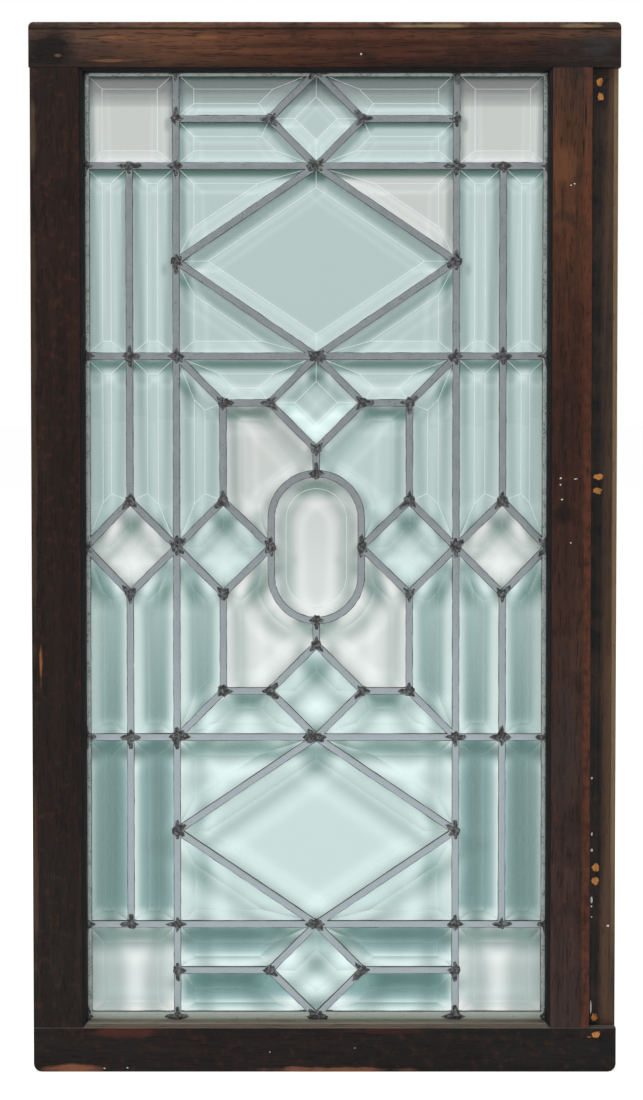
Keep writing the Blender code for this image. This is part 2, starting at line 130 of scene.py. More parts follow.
# What wear has left on the right stile, the bottom rail and the face of the sash, each mark as x, z
# and half its width and height
CHIPS = (
    (0.2737, 0.9900, 0.0032, 0.0040), (0.2745, 0.9755, 0.0030, 0.0042),
    (0.2740, 0.5975, 0.0046, 0.0030), (0.2728, 0.5835, 0.0040, 0.0032),
    (0.2722, 0.2040, 0.0034, 0.0038), (0.2720, 0.1905, 0.0038, 0.0040),
    (0.2715, 0.0520, 0.0030, 0.0036),
)
RAIL_CHIPS = ((0.2725, 0.0375, 0.0042, 0.0030), (0.2655, 0.0352, 0.0022, 0.0009))
FLECKS = (
    (0.0360, 1.0165, 0.0011, 0.0012), (0.2475, 0.8885, 0.0010, 0.0009), (0.2440, 0.8870, 0.0009, 0.0006),
    (0.2347, 0.5965, 0.0011, 0.0013), (0.2345, 0.5900, 0.0010, 0.0009), (0.2362, 0.5752, 0.0014, 0.0008),
    (0.2498, 0.5957, 0.0020, 0.0007), (0.2450, 0.5320, 0.0008, 0.0009), (0.2680, 0.2945, 0.0009, 0.0014),
    (0.2683, 0.2380, 0.0008, 0.0020), (0.2684, 0.2215, 0.0012, 0.0014), (0.2684, 0.1715, 0.0010, 0.0034),
    (0.2681, 0.1645, 0.0009, 0.0010), (0.2684, 0.1540, 0.0007, 0.0008), (0.2680, 0.0620, 0.0008, 0.0060),
    (0.2850, 0.1450, 0.0012, 0.0010), (-0.2210, 0.0035, 0.0012, 0.0008), (-0.1980, 0.0040, 0.0011, 0.0007),
    (-0.2350, 0.9850, 0.0006, 0.0008), (-0.0550, 0.0200, 0.0008, 0.0006), (0.0300, 0.0240, 0.0011, 0.0004),
)

# The paper behind the glass, in the panel's plan, and the light on it
PAPER_U, PAPER_V = 0.32, 0.58  # half its width and height
PAPER_STEP = 0.002
PAPER_HEAD, PAPER_FOOT = 0.005, 0.035  # behind the glass at the head and foot of the panel
GLASS_PASSES = 0.85  # of the light that meets a pane
BEND = 0.52  # how far glass turns light, as a share of the slope of its face
LIGHT_STEPS = 13  # steps across each of the lights below
PAPER_LIGHTS = (  # run aside and down for each step back, spread, colour
    ((0.75, -0.75), 0.16, (0.34, 0.30, 0.31)),
    ((-0.75, -0.75), 0.16, (0.32, 0.29, 0.30)),
    ((0.0, -0.15), 0.15, (0.104, 0.143, 0.142)),
)
PAPER_SHADE = (0.016, 0.064, 0.042)  # light that reaches the paper everywhere
PAPER_SHADE_FOOT = (0.057, 0.077, 0.078)  # and more of it towards the foot
PAPER_OPEN = (0.78, 0.80, 0.79)  # the far paper, which nothing shades
PAPER_LEVELS = (  # height on the panel and the level of light there
    (-0.48, 1.0), (-0.20, 1.0), (-0.03, 0.98), (0.05, 0.86), (0.20, 0.85), (0.35, 0.88), (0.48, 0.90))
HEAD_SHADE = (  # distance below the head and the level of light there
    (0, 0.22), (0.018, 0.36), (0.030, 0.72), (0.0335, 0.84), (0.0340, 1.0))
DEEP_SHADE = (0.30, 0.46, 0.46)  # what the deepest shade leaves of red, green and blue
DEEP_FROM = -0.19  # below this height the narrow panes throw a deep shade
LOW_FROM, LOW_TO = 0.03, -0.16  # where the shade of the top bevels sets in
SHADES = {  # how deep each is, from 0 to 1
    "top bevel": 0.62, "square, top bevel": 0.85, "square": 0.34, "square, table less": 0.1,
    "strip": 0.62, "deep strip": 0.82, "trapezoid": 0.8, "outer trapezoid": 1.0,
    "outer trapezoid, foot": 0.72, "oval, top": 0.45, "oval, sides": 0.22,
}
SPOT_STRENGTH = 0.55  # of the shade that a heap of solder throws
SPOT_DROP, SPOT_FALL = 0.004, 0.9  # of a spot below its joint, and for each metre to the paper
SPOT_SIZE = (0.0075, 0.0085)
TWIN_APART, TWIN_LEVEL, TWIN_SIZE = 0.011, -0.028, (0.0065, 0.013)  # spots beside the middle joints
JOINT_COVER = 0.85  # of a joint's size stops all light
BRIGHT_BEVEL = 1.05  # times the light behind a bevel that faces down, above the middle
BRIGHT_BEVELS = {"middle_diamond_top": 1.5, "border_diamond_top": 1.12}  # and in panes that gleam more

# The stage, each light as its name, place, size and power
FLOOR_GAP = 0.0005
FAR_PAPER = 0.12
LIGHT_TARGET = (0, 0, 0.5)
LIGHTS = (
    ("key", (-0.9, -1.9, 4.2), (1.6, 1.0), 75), ("left", (-3.2, -1.8, 1.6), (1.0, 1.6), 22),
    ("right", (3.2, -1.8, 1.6), (1.0, 1.6), 22), ("rim", (0.3, 2.5, 3.2), (2, 1), 30),
)

# The photograph's view
PICTURE_HEIGHT = 1100
EYE_DISTANCE = 2.0  # in front of the face of the sash
EYE_HEIGHT = 0.714
EYE_TILT = math.radians(1.723)
FOCAL_PIXELS = 2013
PIXELS_RIGHT = -3.25  # of the picture's middle from the camera's axis
PIXELS_UP = -129.4

PANE_NODES = [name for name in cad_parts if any(
    word in name for word in ("square", "trapezoid", "triangle", "strip", "arched", "diamond", "oval"))]
STOP_NODES = ("top_stop", "bottom_stop", "left_stop", "right_stop")


def length_value(name, description, default):
    return bpy.props.FloatProperty(
        name=name, description=description, default=default, unit="LENGTH", precision=5)


def colour_value(name, description, default):
    return bpy.props.FloatVectorProperty(
        name=name, description=description, default=default, subtype="COLOR", size=3)


class WindowSizes(bpy.types.PropertyGroup):
    """Sizes of the finish that can be changed without changing the frame."""

    came_width: length_value("Came width", "Across the face of an inner came", 0.00635)
    border_width: length_value("Border came width", "Across the face of the border came", 0.0095)
    flange: length_value("Flange thickness", "Thickness of the lead at the face", 0.0012)
    glass_edge: length_value("Glass edge", "Thickness of a pane at its ground edge", 0.0025)
    bevel_top: length_value("Top bevel", "Width of the bevel along the top of a pane", 0.0168)
    bevel_bottom: length_value("Bottom bevel", "Width of the bevel along the foot of a pane", 0.0140)
    bevel_side: length_value("Side bevel", "Width of the bevel down the sides of a pane", 0.0172)
    ground_line: length_value("Ground line", "Width of the line where two ground faces meet", 0.0006)
    joint_size: length_value("Solder joint", "How far solder runs from the middle of a joint", 0.0086)
    cement: length_value("Cement line", "Half the thickness of the cement beside a came", 0.0005)
    arris: length_value("Worn arris", "How far the edges of the sash are rounded by wear", 0.0012)


class WindowColours(bpy.types.PropertyGroup):
    """Colours of the wood, the lead and the glass."""

    stain: colour_value("Stain", "Old finish where it lies thick and dark", (0.009, 0.0075, 0.007))
    wood_worn: colour_value("Worn wood", "Wood rubbed back to its own red", (0.11, 0.034, 0.018))
    wood_bare: colour_value("Bare wood", "Fresh wood inside the chips", (0.55, 0.25, 0.06))
    wood_buff: colour_value("Buff wood", "Unfinished wood along the outer edge", (0.15, 0.10, 0.055))
    paint: colour_value("Paint flecks", "Specks of pale paint", (0.62, 0.60, 0.56))
    dust: colour_value("Dust", "Pale dust on the moulding at the foot", (0.26, 0.25, 0.21))
    lead: colour_value("Lead", "Dull lead", (0.225, 0.252, 0.262))
    solder: colour_value("Solder", "Darkened solder joints", (0.026, 0.023, 0.022))
    cement: colour_value("Cement", "Dried glazing cement", (0.018, 0.018, 0.017))
    glass_clear: colour_value("Clear glass", "Tint of the clearer panes", (0.94, 0.96, 0.94))
    glass_green: colour_value("Green glass", "Tint of the greener panes", (0.78, 0.93, 0.91))


# Small helpers

def add_piece(name, bm, finish, replaced=()):
    """Turns a finished bmesh into a piece that rides on the window."""
    mesh = bpy.data.meshes.new(name)
    bm.to_mesh(mesh)
    bm.free()
    made = bpy.data.objects.new(name, mesh)
    for one in finish if isinstance(finish, (list, tuple)) else [finish]:
        mesh.materials.append(one)
    bpy.context.scene.collection.objects.link(made)
    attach(made, "root")
    if replaced:
        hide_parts(*replaced)
    return made


def shade(piece, degrees):
    piece.data.shade_smooth()
    piece.data.set_sharp_from_angle(angle=math.radians(degrees))


def on_panel(u, v, depth=0.0):
    return Vector((MIDDLE.x + u, depth, MIDDLE.z + v))


def join_parts(parts):
    """One bmesh from several small ones, which are quicker to shape on their own."""
    whole = bmesh.new()
    for part in parts:
        mesh = bpy.data.meshes.new("part")
        part.to_mesh(mesh)
        part.free()
        whole.from_mesh(mesh)
        bpy.data.meshes.remove(mesh)
    return whole


def merged_copy(node):
    """A bmesh of a frame node with its loose triangles joined and flat faces made whole."""
    bm = bmesh.new()
    bm.from_mesh(node.data)
    bmesh.ops.remove_doubles(bm, verts=bm.verts, dist=MERGE)
    bmesh.ops.dissolve_limit(bm, angle_limit=math.radians(0.5), verts=bm.verts, edges=bm.edges)
    return bm


# Materials

class Nodes:
    """Shorthand for building a material's node tree."""

    def __init__(self, name):
        self.material = bpy.data.materials.new(name)
        self.material.use_nodes = True
        self.tree = self.material.node_tree
        self.shader = self.tree.nodes["Principled BSDF"]
        self.place = self.tree.nodes.new("ShaderNodeTexCoord").outputs["Object"]

    def add(self, kind, inputs=None, **settings):
        node = self.tree.nodes.new("ShaderNode" + kind)
        for key, value in settings.items():
            setattr(node, key, value)
        for key, value in (inputs or {}).items():
            self.plug(value, node.inputs[key])
        return node

    def stretched(self, scale, turn=(0, 0, 0), place=(0, 0, 0)):
        return self.add("Mapping", {
            "Vector": self.place, "Scale": scale, "Rotation": turn, "Location": place}).outputs["Vector"]

    def noise(self, vector, scale, detail=4.0, rough=0.55, distortion=0.0):
        return self.add("TexNoise", {
            "Vector": vector, "Scale": scale, "Detail": detail, "Roughness": rough,
            "Distortion": distortion}).outputs["Fac"]

    def between(self, value, low, high, to_low=0.0, to_high=1.0):
        return self.add("MapRange", {
            "Value": value, "From Min": low, "From Max": high,
            "To Min": to_low, "To Max": to_high}).outputs["Result"]

    def plug(self, value, socket):
        """Links a socket to another, or sets it to a plain value."""
        if isinstance(value, bpy.types.NodeSocket):
            self.tree.links.new(value, socket)
        else:
            socket.default_value = value

    def maths(self, operation, first, second=0.0):
        node = self.add("Math", operation=operation)
        self.plug(first, node.inputs[0])
        self.plug(second, node.inputs[1])
        return node.outputs[0]

    def most(self, *values):
        """The greatest of several values."""
        whole = values[0]
        for value in values[1:]:
            whole = self.maths("MAXIMUM", whole, value)
        return whole

    def times(self, *values):
        """Several values multiplied together."""
        whole = values[0]
        for value in values[1:]:
            whole = self.maths("MULTIPLY", whole, value)
        return whole

    def mix(self, share, first, second):
        node = self.add("Mix", data_type="RGBA")
        self.plug(share, node.inputs[0])
        for index, value in ((6, first), (7, second)):
            plain = not isinstance(value, bpy.types.NodeSocket)
            self.plug((*value[:3], 1) if plain else value, node.inputs[index])
        return node.outputs[2]

    def ramp(self, value, colours):
        """Runs through a list of colours, evenly spaced, as a value goes from 0 to 1."""
        node = self.add("ValToRGB", {"Fac": value})
        stops = node.color_ramp.elements
        while len(stops) < len(colours):
            stops.new(0.5)
        for index, colour in enumerate(colours):
            stops[index].position = index / (len(colours) - 1)
            stops[index].color = (*colour, 1)
        return node.outputs["Color"]

    def patch(self, centre, half, edge, soft=0.5):
        """1 inside an oval patch of the face, fading to 0 at an edge made ragged by a noise."""
        scale = (1 / half[0], 0, 1 / half[1])
        place = (-centre[0] / half[0], 0, -centre[1] / half[1])
        local = self.stretched(scale, place=place)
        away = self.add("VectorMath", {0: local}, operation="LENGTH").outputs["Value"]
        away = self.maths("ADD", away, self.between(edge, 0.3, 0.7, -0.45, 0.45))
        return self.between(away, 1, 1 - soft)

    def bump(self, height, distance, strength=1.0):
        made = self.add("Bump", {"Height": height, "Distance": distance, "Strength": strength})
        return made.outputs["Normal"]

    def finish(self, **sockets):
        for key, value in sockets.items():
            self.plug(value, self.shader.inputs[key.replace("_", " ")])
        return self.material


def old_wood(name, colours, along, tones, reach):
    """The nodes of old stained wood: its tones run along the grain from one end to the other."""
    made = Nodes(name)
    split = made.add("SeparateXYZ", {"Vector": made.place}).outputs
    across = [40, 40, 40]
    across["XZ".index(along) * 2] = 1.6
    grain = made.noise(made.stretched(across), 1.0, 6, 0.62, 0.5)
    streak = made.noise(made.stretched([size * 5 for size in across]), 1.0, 4, 0.65)
    pore = made.noise(made.stretched([size * 22 if size == 40 else 60 for size in across]), 1.0, 2, 0.5)
    cloud = made.noise(made.place, 22.0, 5, 0.62)
    mottle = made.noise(made.place, 130.0, 4, 0.65)
    run = made.between(split[along], *reach)
    run = made.maths("ADD", run, made.between(cloud, 0.3, 0.7, -0.07, 0.07))
    colour = made.ramp(run, tones)
    dark = made.most(
        made.between(grain, 0.42, 0.62, 0, 0.75), made.between(streak, 0.5, 0.68, 0, 0.65),
        made.between(cloud, 0.5, 0.66, 0, 0.6))
    colour = made.mix(made.between(grain, 0.48, 0.3, 0, 0.35), colour, [c * 1.7 for c in tones[1]])
    colour = made.mix(dark, colour, colours.stain)
    colour = made.mix(made.between(mottle, 0.54, 0.74, 0, 0.26), colour, colours.wood_worn)
    colour = made.mix(made.between(pore, 0.6, 0.68, 0, 0.6), colour, colours.stain)
    made.split, made.grain, made.streak, made.pore = split, grain, streak, pore
    made.cloud, made.mottle = cloud, mottle
    made.front = made.between(split["Y"], -0.003, -0.006)
    return made, colour


def wood_finish(made, colour):
    """Closes a wood: its sheen, and the grain raised a little."""
    height = made.maths("ADD", made.streak, made.times(made.grain, 0.7))
    height = made.maths("ADD", height, made.times(made.mottle, 0.5))
    height = made.maths("SUBTRACT", height, made.between(made.pore, 0.6, 0.68, 0, 0.8))
    return made.finish(
        Base_Color=colour, Roughness=made.between(made.cloud, 0.3, 0.7, 0.44, 0.66),
        Normal=made.bump(height, 0.0006, 1.0), Specular_IOR_Level=0.09)


def marked(made, colour, marks):
    """Lays oval patches of colour on the face: centre, half size, colour and strength of each."""
    for centre, half, tone, strength in marks:
        share = made.times(made.patch(centre, half, made.cloud), made.front, strength)
        colour = made.mix(share, colour, tone)
    return colour


def painted_moulding_shade(made, colour, axis, line, way, tone):
    """Paints the shade that falls in the moulding, which begins at a line across X or Z and runs from it
    one way.
    """
    past = made.between(made.split[axis], line - way * 0.0006, line + way * 0.0004)
    return made.mix(past, colour, tone)


def top_rail_wood(colours):
    tones = ((0.043, 0.033, 0.029), (0.108, 0.047, 0.026), (0.060, 0.021, 0.011), (0.040, 0.0135, 0.0085),
             (0.036, 0.0145, 0.010), (0.033, 0.024, 0.021))
    made, colour = old_wood("top_rail_wood", colours, "X", tones, (CAD_LOW.x, CAD_HIGH.x))
    top = CAD_HIGH.z
    colour = marked(made, colour, (
        ((-0.272, top - 0.026), (0.028, 0.024), colours.stain, 0.95),
        ((0.270, top - 0.026), (0.020, 0.020), (0.030, 0.030, 0.031), 0.6),
        ((-0.208, top - 0.015), (0.015, 0.0016), (0.20, 0.075, 0.03), 0.8),
        ((-0.114, top - 0.015), (0.010, 0.0014), (0.18, 0.07, 0.03), 0.8),
        ((-0.214, top - 0.038), (0.024, 0.0018), (0.17, 0.07, 0.035), 0.7),
        ((0.108, top - 0.004), (0.045, 0.003), (0.22, 0.15, 0.075), 0.9),
        ((0.255, top - 0.004), (0.030, 0.003), (0.20, 0.13, 0.07), 0.9),
        ((-0.264, top - 0.033), (0.004, 0.002), (0.16, 0.08, 0.05), 0.7),
    ))
    below = made.maths("ABSOLUTE", made.maths("SUBTRACT", made.split["Z"], top - 0.0065))
    line = made.between(below, 0.002, 0)
    colour = made.mix(made.times(made.front, line), colour, colours.stain)
    rubbed = made.between(made.split["Z"], top - 0.004, top - 0.001)
    rubbed = made.times(rubbed, made.between(made.mottle, 0.4, 0.6), 0.7)
    colour = made.mix(rubbed, colour, (0.115, 0.085, 0.065))
    # painted shade in the moulding along the sight edge
    colour = painted_moulding_shade(made, colour, "Z", SIGHT_TOP, -1, (0.009, 0.008, 0.008))
    return wood_finish(made, colour)


def left_stile_wood(colours):
    tones = ((0.024, 0.019, 0.017), (0.022, 0.013, 0.010), (0.022, 0.012, 0.009), (0.026, 0.012, 0.009),
             (0.022, 0.012, 0.010))
    made, colour = old_wood("left_stile_wood", colours, "Z", tones, (0, CAD_HIGH.z))
    outer = CAD_LOW.x
    colour = marked(made, colour, (
        ((outer + 0.010, 0.41), (0.002, 0.024), (0.24, 0.085, 0.03), 0.9),
        ((outer + 0.004, 0.60), (0.0035, 0.28), (0.05, 0.030, 0.020), 0.7),
        ((outer + 0.004, 0.20), (0.003, 0.10), (0.07, 0.035, 0.022), 0.7),
        ((outer + 0.004, 0.95), (0.004, 0.05), (0.08, 0.05, 0.03), 0.6),
    ))
    # painted shade in the moulding along the sight edge
    colour = painted_moulding_shade(made, colour, "X", SIGHT_LEFT, 1, (0.012, 0.012, 0.012))
    return wood_finish(made, colour)


def right_stile_wood(colours):
    tones = ((0.038, 0.023, 0.020), (0.042, 0.023, 0.018), (0.043, 0.022, 0.017), (0.046, 0.021, 0.015),
             (0.044, 0.017, 0.011), (0.052, 0.019, 0.011), (0.115, 0.044, 0.021), (0.045, 0.032, 0.027))
    made, colour = old_wood("right_stile_wood", colours, "Z", tones, (0, CAD_HIGH.z))
    across = made.split["X"]
    worn = made.times(
        made.between(across, EDGE_STEP - 0.010, EDGE_STEP - 0.006),
        made.between(made.grain, 0.3, 0.6), made.between(across, EDGE_STEP + 0.001, EDGE_STEP),
        made.between(made.mottle, 0.36, 0.58, 0.3, 1.0), 0.75)
    colour = made.mix(worn, colour, colours.wood_worn)
    # painted shade: the floor of the rebate is dark next to the step that shades it, with brown wood
    # further out
    step = made.between(across, EDGE_STEP - 0.0004, EDGE_STEP + 0.0008)
    floor = made.mix(made.between(made.cloud, 0.42, 0.62), (0.010, 0.0105, 0.011), (0.029, 0.021, 0.017))
    brown = made.between(across, EDGE_STEP + 0.009, EDGE_STEP + 0.015)
    brown = made.times(brown, made.between(made.grain, 0.38, 0.58), 0.8)
    floor = made.mix(brown, floor, (0.085, 0.048, 0.030))
    colour = made.mix(step, colour, floor)
    colour = marked(made, colour, (
        ((0.2585, 0.955), (0.0012, 0.016), colours.stain, 1.0),
        ((0.2565, 0.925), (0.0010, 0.014), colours.stain, 0.9),
        ((0.2400, 0.905), (0.014, 0.022), (0.135, 0.052, 0.022), 0.6),
        ((0.2380, 0.560), (0.016, 0.014), colours.stain, 0.7),
        ((0.2400, 0.330), (0.015, 0.10), (0.030, 0.022, 0.019), 0.6),
    ))
    buff = made.times(
        made.between(across, CAD_HIGH.x - 0.0062, CAD_HIGH.x - 0.0052),
        made.between(made.split["Z"], 0.09, 0.24, 0.12, 1.0),
        made.between(made.streak, 0.25, 0.45, 0.55, 1.0))
    colour = made.mix(buff, colour, colours.wood_buff)
    # painted shade in the moulding along the sight edge
    colour = painted_moulding_shade(made, colour, "X", SIGHT_RIGHT, -1, (0.011, 0.011, 0.011))
    return wood_finish(made, colour)


def bottom_rail_wood(colours):
    tones = ((0.013, 0.011, 0.010), (0.014, 0.010, 0.009), (0.013, 0.011, 0.010), (0.011, 0.0105, 0.0105))
    made, colour = old_wood("bottom_rail_wood", colours, "X", tones, (CAD_LOW.x, CAD_HIGH.x))
    colour = marked(made, colour, (
        ((-0.255, 0.003), (0.032, 0.005), (0.20, 0.078, 0.040), 0.9),
        ((0.020, 0.002), (0.072, 0.004), (0.19, 0.075, 0.038), 0.9),
        ((-0.205, SIGHT_BOTTOM - 0.004), (0.045, 0.006), (0.065, 0.020, 0.014), 0.8),
        ((0.060, SIGHT_BOTTOM - 0.003), (0.050, 0.004), (0.050, 0.018, 0.013), 0.6),
    ))
    moulding = made.between(made.split["Z"], SIGHT_BOTTOM - 0.0006, SIGHT_BOTTOM + 0.0002)
    lines = made.maths("SINE", made.times(made.split["Y"], 2 * math.pi / DUST_PITCH))
    lines = made.times(made.between(lines, 0.1, 0.8), made.between(made.streak, 0.3, 0.5))
    dusty = made.mix(lines, (0.105, 0.085, 0.066), colours.dust)
    colour = made.mix(moulding, colour, dusty)
    return wood_finish(made, colour)


def stop_wood(name, colours, along):
    """Plainer wood for the stops behind the glass."""
    reach = (CAD_LOW.x, CAD_HIGH.x) if along == "X" else (0, CAD_HIGH.z)
    tones = ((0.040, 0.024, 0.017), (0.052, 0.027, 0.018), (0.038, 0.022, 0.016))
    made, colour = old_wood(name, colours, along, tones, reach)
    return wood_finish(made, colour)


def bare_wood(colours):
    made = Nodes("bare_wood")
    fibre = made.noise(made.stretched((900, 900, 60)), 1.0, 3, 0.6)
    colour = made.mix(made.between(fibre, 0.35, 0.65), colours.wood_bare,
                      [c * s for c, s in zip(colours.wood_bare, (0.6, 0.42, 0.3))])
    return made.finish(Base_Color=colour, Roughness=0.8, Normal=made.bump(fibre, 0.0003))


def paint_fleck(colours):
    made = Nodes("paint_flecks")
    cloud = made.noise(made.place, 1200.0, 3, 0.6)
    colour = made.mix(cloud, colours.paint, [c * 0.7 for c in colours.paint])
    return made.finish(Base_Color=colour, Roughness=0.6, Normal=made.bump(cloud, 0.0001))


def border_putty(made, colours, away):
    """Where putty lies along the border, and its colour: pale, with black grit, dustier at the foot."""
    side = made.between(made.maths("ABSOLUTE", away["X"]), BORDER_U - 0.0056, BORDER_U - 0.0048)
    end = made.between(made.maths("ABSOLUTE", away["Z"]), BORDER_V - 0.0056, BORDER_V - 0.0048)
    grit = made.noise(made.place, 1100.0, 3, 0.6)
    lumps = made.noise(made.place, 120.0, 3, 0.6)
    black = made.times(made.between(grit, 0.48, 0.6), made.between(lumps, 0.4, 0.58))
    putty = made.mix(black, (0.34, 0.39, 0.37), (0.025, 0.030, 0.028))
    foot = made.mix(made.between(made.speck, 0.62, 0.7), (0.36, 0.40, 0.34), (0.04, 0.04, 0.03))
    putty = made.mix(made.between(away["Z"], -BORDER_V + 0.0048, -BORDER_V + 0.004), putty, foot)
    return made.times(made.most(side, end), 0.9), putty


def lead_material(colours):
    """Dull lead with dark specks, paler in the lower half, under putty along the border."""
    made = Nodes("dull_lead")
    cloud = made.noise(made.place, 60.0, 5, 0.6)
    scratch = made.noise(made.place, 700.0, 3, 0.6)
    made.speck = made.noise(made.place, 420.0, 4, 0.7)
    colour = made.mix(made.between(cloud, 0.35, 0.7), [c * 0.8 for c in colours.lead], colours.lead)
    colour = made.mix(made.between(scratch, 0.5, 0.72, 0, 0.5), colour, [c * 1.5 for c in colours.lead])
    colour = made.mix(made.between(made.speck, 0.6, 0.7, 0, 0.75), colour, colours.cement)
    away = made.add("VectorMath", {0: made.place, 1: (MIDDLE.x, 0, MIDDLE.z)}, operation="SUBTRACT")
    away = made.add("SeparateXYZ", {"Vector": away.outputs["Vector"]}).outputs
    low = made.between(away["Z"], 0.05, -0.2, 0, 0.75)
    colour = made.mix(low, colour, made.mix(0.5, colour, (0.52, 0.62, 0.66)))
    share, putty = border_putty(made, colours, away)
    colour = made.mix(share, colour, putty)
    return made.finish(
        Base_Color=colour, Roughness=made.between(cloud, 0.3, 0.7, 0.45, 0.62), Metallic=0.25,
        Normal=made.bump(scratch, 0.00015))


def solder_material(colours):
    made = Nodes("dark_solder")
    cloud = made.noise(made.place, 350.0, 5, 0.65)
    colour = made.mix(made.between(cloud, 0.45, 0.75), colours.solder, colours.lead)
    return made.finish(
        Base_Color=colour, Roughness=made.between(cloud, 0.4, 0.7, 0.5, 0.3), Metallic=0.4,
        Normal=made.bump(cloud, 0.0003))


def cement_material(colours):
    made = Nodes("glazing_cement")
    cloud = made.noise(made.place, 500.0, 4, 0.6)
    colour = made.mix(made.between(cloud, 0.5, 0.75), colours.cement, [c * 6 for c in colours.cement])
    return made.finish(Base_Color=colour, Roughness=0.85, Normal=made.bump(cloud, 0.0002))


def glass_material(name, tint):
    made = Nodes(name)
    cloud = made.noise(made.place, 14.0, 3, 0.5)
    colour = made.mix(cloud, tint, [min(1, c * 1.03) for c in tint])
    wave = made.noise(made.place, 9.0, 1, 0.4)
    return made.finish(
        Base_Color=colour, Roughness=0.0, IOR=1.52, Transmission_Weight=1.0,
        Normal=made.bump(wave, 0.0004, 0.4))


def ground_line_material(name, clearness):
    """The line between two ground faces, from milky to nearly clear."""
    made = Nodes(name)
    grit = made.noise(made.place, 900.0, 2, 0.5)
    colour = made.mix(grit, (0.9, 0.95, 0.94), (1, 1, 1))
    return made.finish(Base_Color=colour, Roughness=0.3, IOR=1.52, Transmission_Weight=clearness)


# Wood

def ragged_lump(mark, thick, depth, fineness, waves):
    """A small ragged lump at a mark on the face. Each wave is its height, its scale and its place."""
    x, z, wide, high = mark
    bm = bmesh.new()
    lump = bmesh.ops.create_icosphere(bm, subdivisions=fineness, radius=1)["verts"]
    for vert in lump:
        ragged = 1
        for rise, scale, place in waves:
            ragged += rise * noise.noise(vert.co * scale + place)
        vert.co = Vector((vert.co.x * wide, vert.co.y * thick, vert.co.z * high)) * ragged
    bmesh.ops.translate(bm, verts=lump, vec=(x, depth, z))
    return bm


def chip_tool(chips, depth):
    """Ragged shallow scoops that take chips off the face, and leave them bare wood."""
    parts = []
    for index, chip in enumerate(chips):
        waves = ((0.45, 1.7, Vector((index * 9.1, 0, 0))), (0.25, 5, Vector((index * 9.1, 5, 0))))
        bm = ragged_lump(chip, CHIP_DEPTH, depth, 3, waves)
        for face in bm.faces:
            face.material_index = 1
        parts.append(bm)
    return join_parts(parts)


def build_member(name, finish, arris, bare=None, chips=None):
    """A frame node's own shape with its edges worn round, and chips taken off it by a tool."""
    bm = merged_copy(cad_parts[name])
    sharp = [edge for edge in bm.edges if edge.is_manifold and edge.calc_face_angle() > math.radians(50)]
    bmesh.ops.bevel(
        bm, geom=sharp, offset=arris, offset_type="OFFSET", segments=2, profile=0.5,
        affect="EDGES", material=-1, clamp_overlap=True)
    if chips:
        bm = less(bm, chips, ragged=True)
    piece = add_piece(f"{name}_wood", bm, [finish, bare] if bare else finish, [name])
    shade(piece, 40)
    return piece


def build_flecks(finish):
    """Specks of pale paint on the face of the sash."""
    parts = []
    for index, fleck in enumerate(FLECKS):
        depth = SASH_FRONT + (STEP_DEPTH if fleck[0] > EDGE_STEP else FLECK_SINK)
        waves = ((0.6, 2.3, Vector((index * 5.3, 0, 0))),)
        parts.append(ragged_lump(fleck, FLECK_DEPTH, depth, 2, waves))
    piece = add_piece("paint_flecks", join_parts(parts), finish)
    shade(piece, 60)


# Lead

def came_runs():
    """The straight lengths of inner came, as pairs of (u, v) ends."""
    runs = []
    for side in (-1, 1):
        runs.append(((side * CORNER_U, -BORDER_V), (side * CORNER_U, BORDER_V)))
        for level in (CORNER_V, BAND_V):
            runs.append(((-BORDER_U, side * level), (BORDER_U, side * level)))
        runs.append(((0, side * OVAL_V), (0, side * STEM_V)))
        for end in (-1, 1):
            runs += [
                ((side * COLUMN, end * BORDER_ROW_V), (side * CORNER_U, end * BORDER_ROW_V)),
                ((side * OUTER_U, end * POINT_V), (side * OUTER_U, end * CORNER_V)),
                ((side * 2 * COLUMN, end * POINT_V), (side * 2 * COLUMN, end * SHELF_V)),
                ((side * COLUMN, end * SHELF_V), (side * 2 * COLUMN, end * SHELF_V)),
                ((side * 2 * COLUMN, end * SHELF_V), (side * CORNER_U, end * BAND_V)),
            ]
    diamonds = []
    for sign in (-1, 1):
        diamonds += [
            (-COLUMN, COLUMN, sign * CORNER_V, sign * BORDER_V, 0),
            (-CORNER_U, CORNER_U, sign * BAND_V, sign * CORNER_V, 0),
            (-COLUMN, COLUMN, sign * STEM_V, sign * BAND_V, 0),
            (sign * CORNER_U, sign * BORDER_U, -POINT_V, POINT_V, sign * OUTER_U),
            (sign * OVAL_U, sign * CORNER_U, -POINT_V, POINT_V, sign * 2 * COLUMN),
        ]
    for left, right, bottom, top, middle in diamonds:
        level = (bottom + top) / 2
        corners = [(middle, bottom), (right, level), (middle, top), (left, level)]
        runs += list(zip(corners, corners[1:] + corners[:1]))
    return runs


def border_runs():
    corners = [(-BORDER_U, -BORDER_V), (BORDER_U, -BORDER_V), (BORDER_U, BORDER_V), (-BORDER_U, BORDER_V)]
    return list(zip(corners, corners[1:] + corners[:1]))


def flange_ring(bm, width, thickness):
    """A flat rounded section in the XY plane, X across the came and Y its depth."""
    ring = bmesh.ops.create_circle(bm, cap_ends=False, segments=FLANGE_SIDES, radius=1)["verts"]
    for vert in ring:
        across = math.copysign(abs(vert.co.x) ** 0.75, vert.co.x)
        deep = math.copysign(abs(vert.co.y) ** 0.7, vert.co.y)
        vert.co = (across * width / 2, deep * thickness / 2, 0)
    return ring


def carried_on(bm, edges):
    """Extrudes a ring of edges. Gives back its new vertices and its new ring."""
    run = bmesh.ops.extrude_edge_only(bm, edges=edges)["geom"]
    fresh = {item for item in run if isinstance(item, bmesh.types.BMVert)}
    ends = [item for item in run if isinstance(item, bmesh.types.BMEdge)]
    return fresh, [edge for edge in ends if fresh.issuperset(edge.verts)]


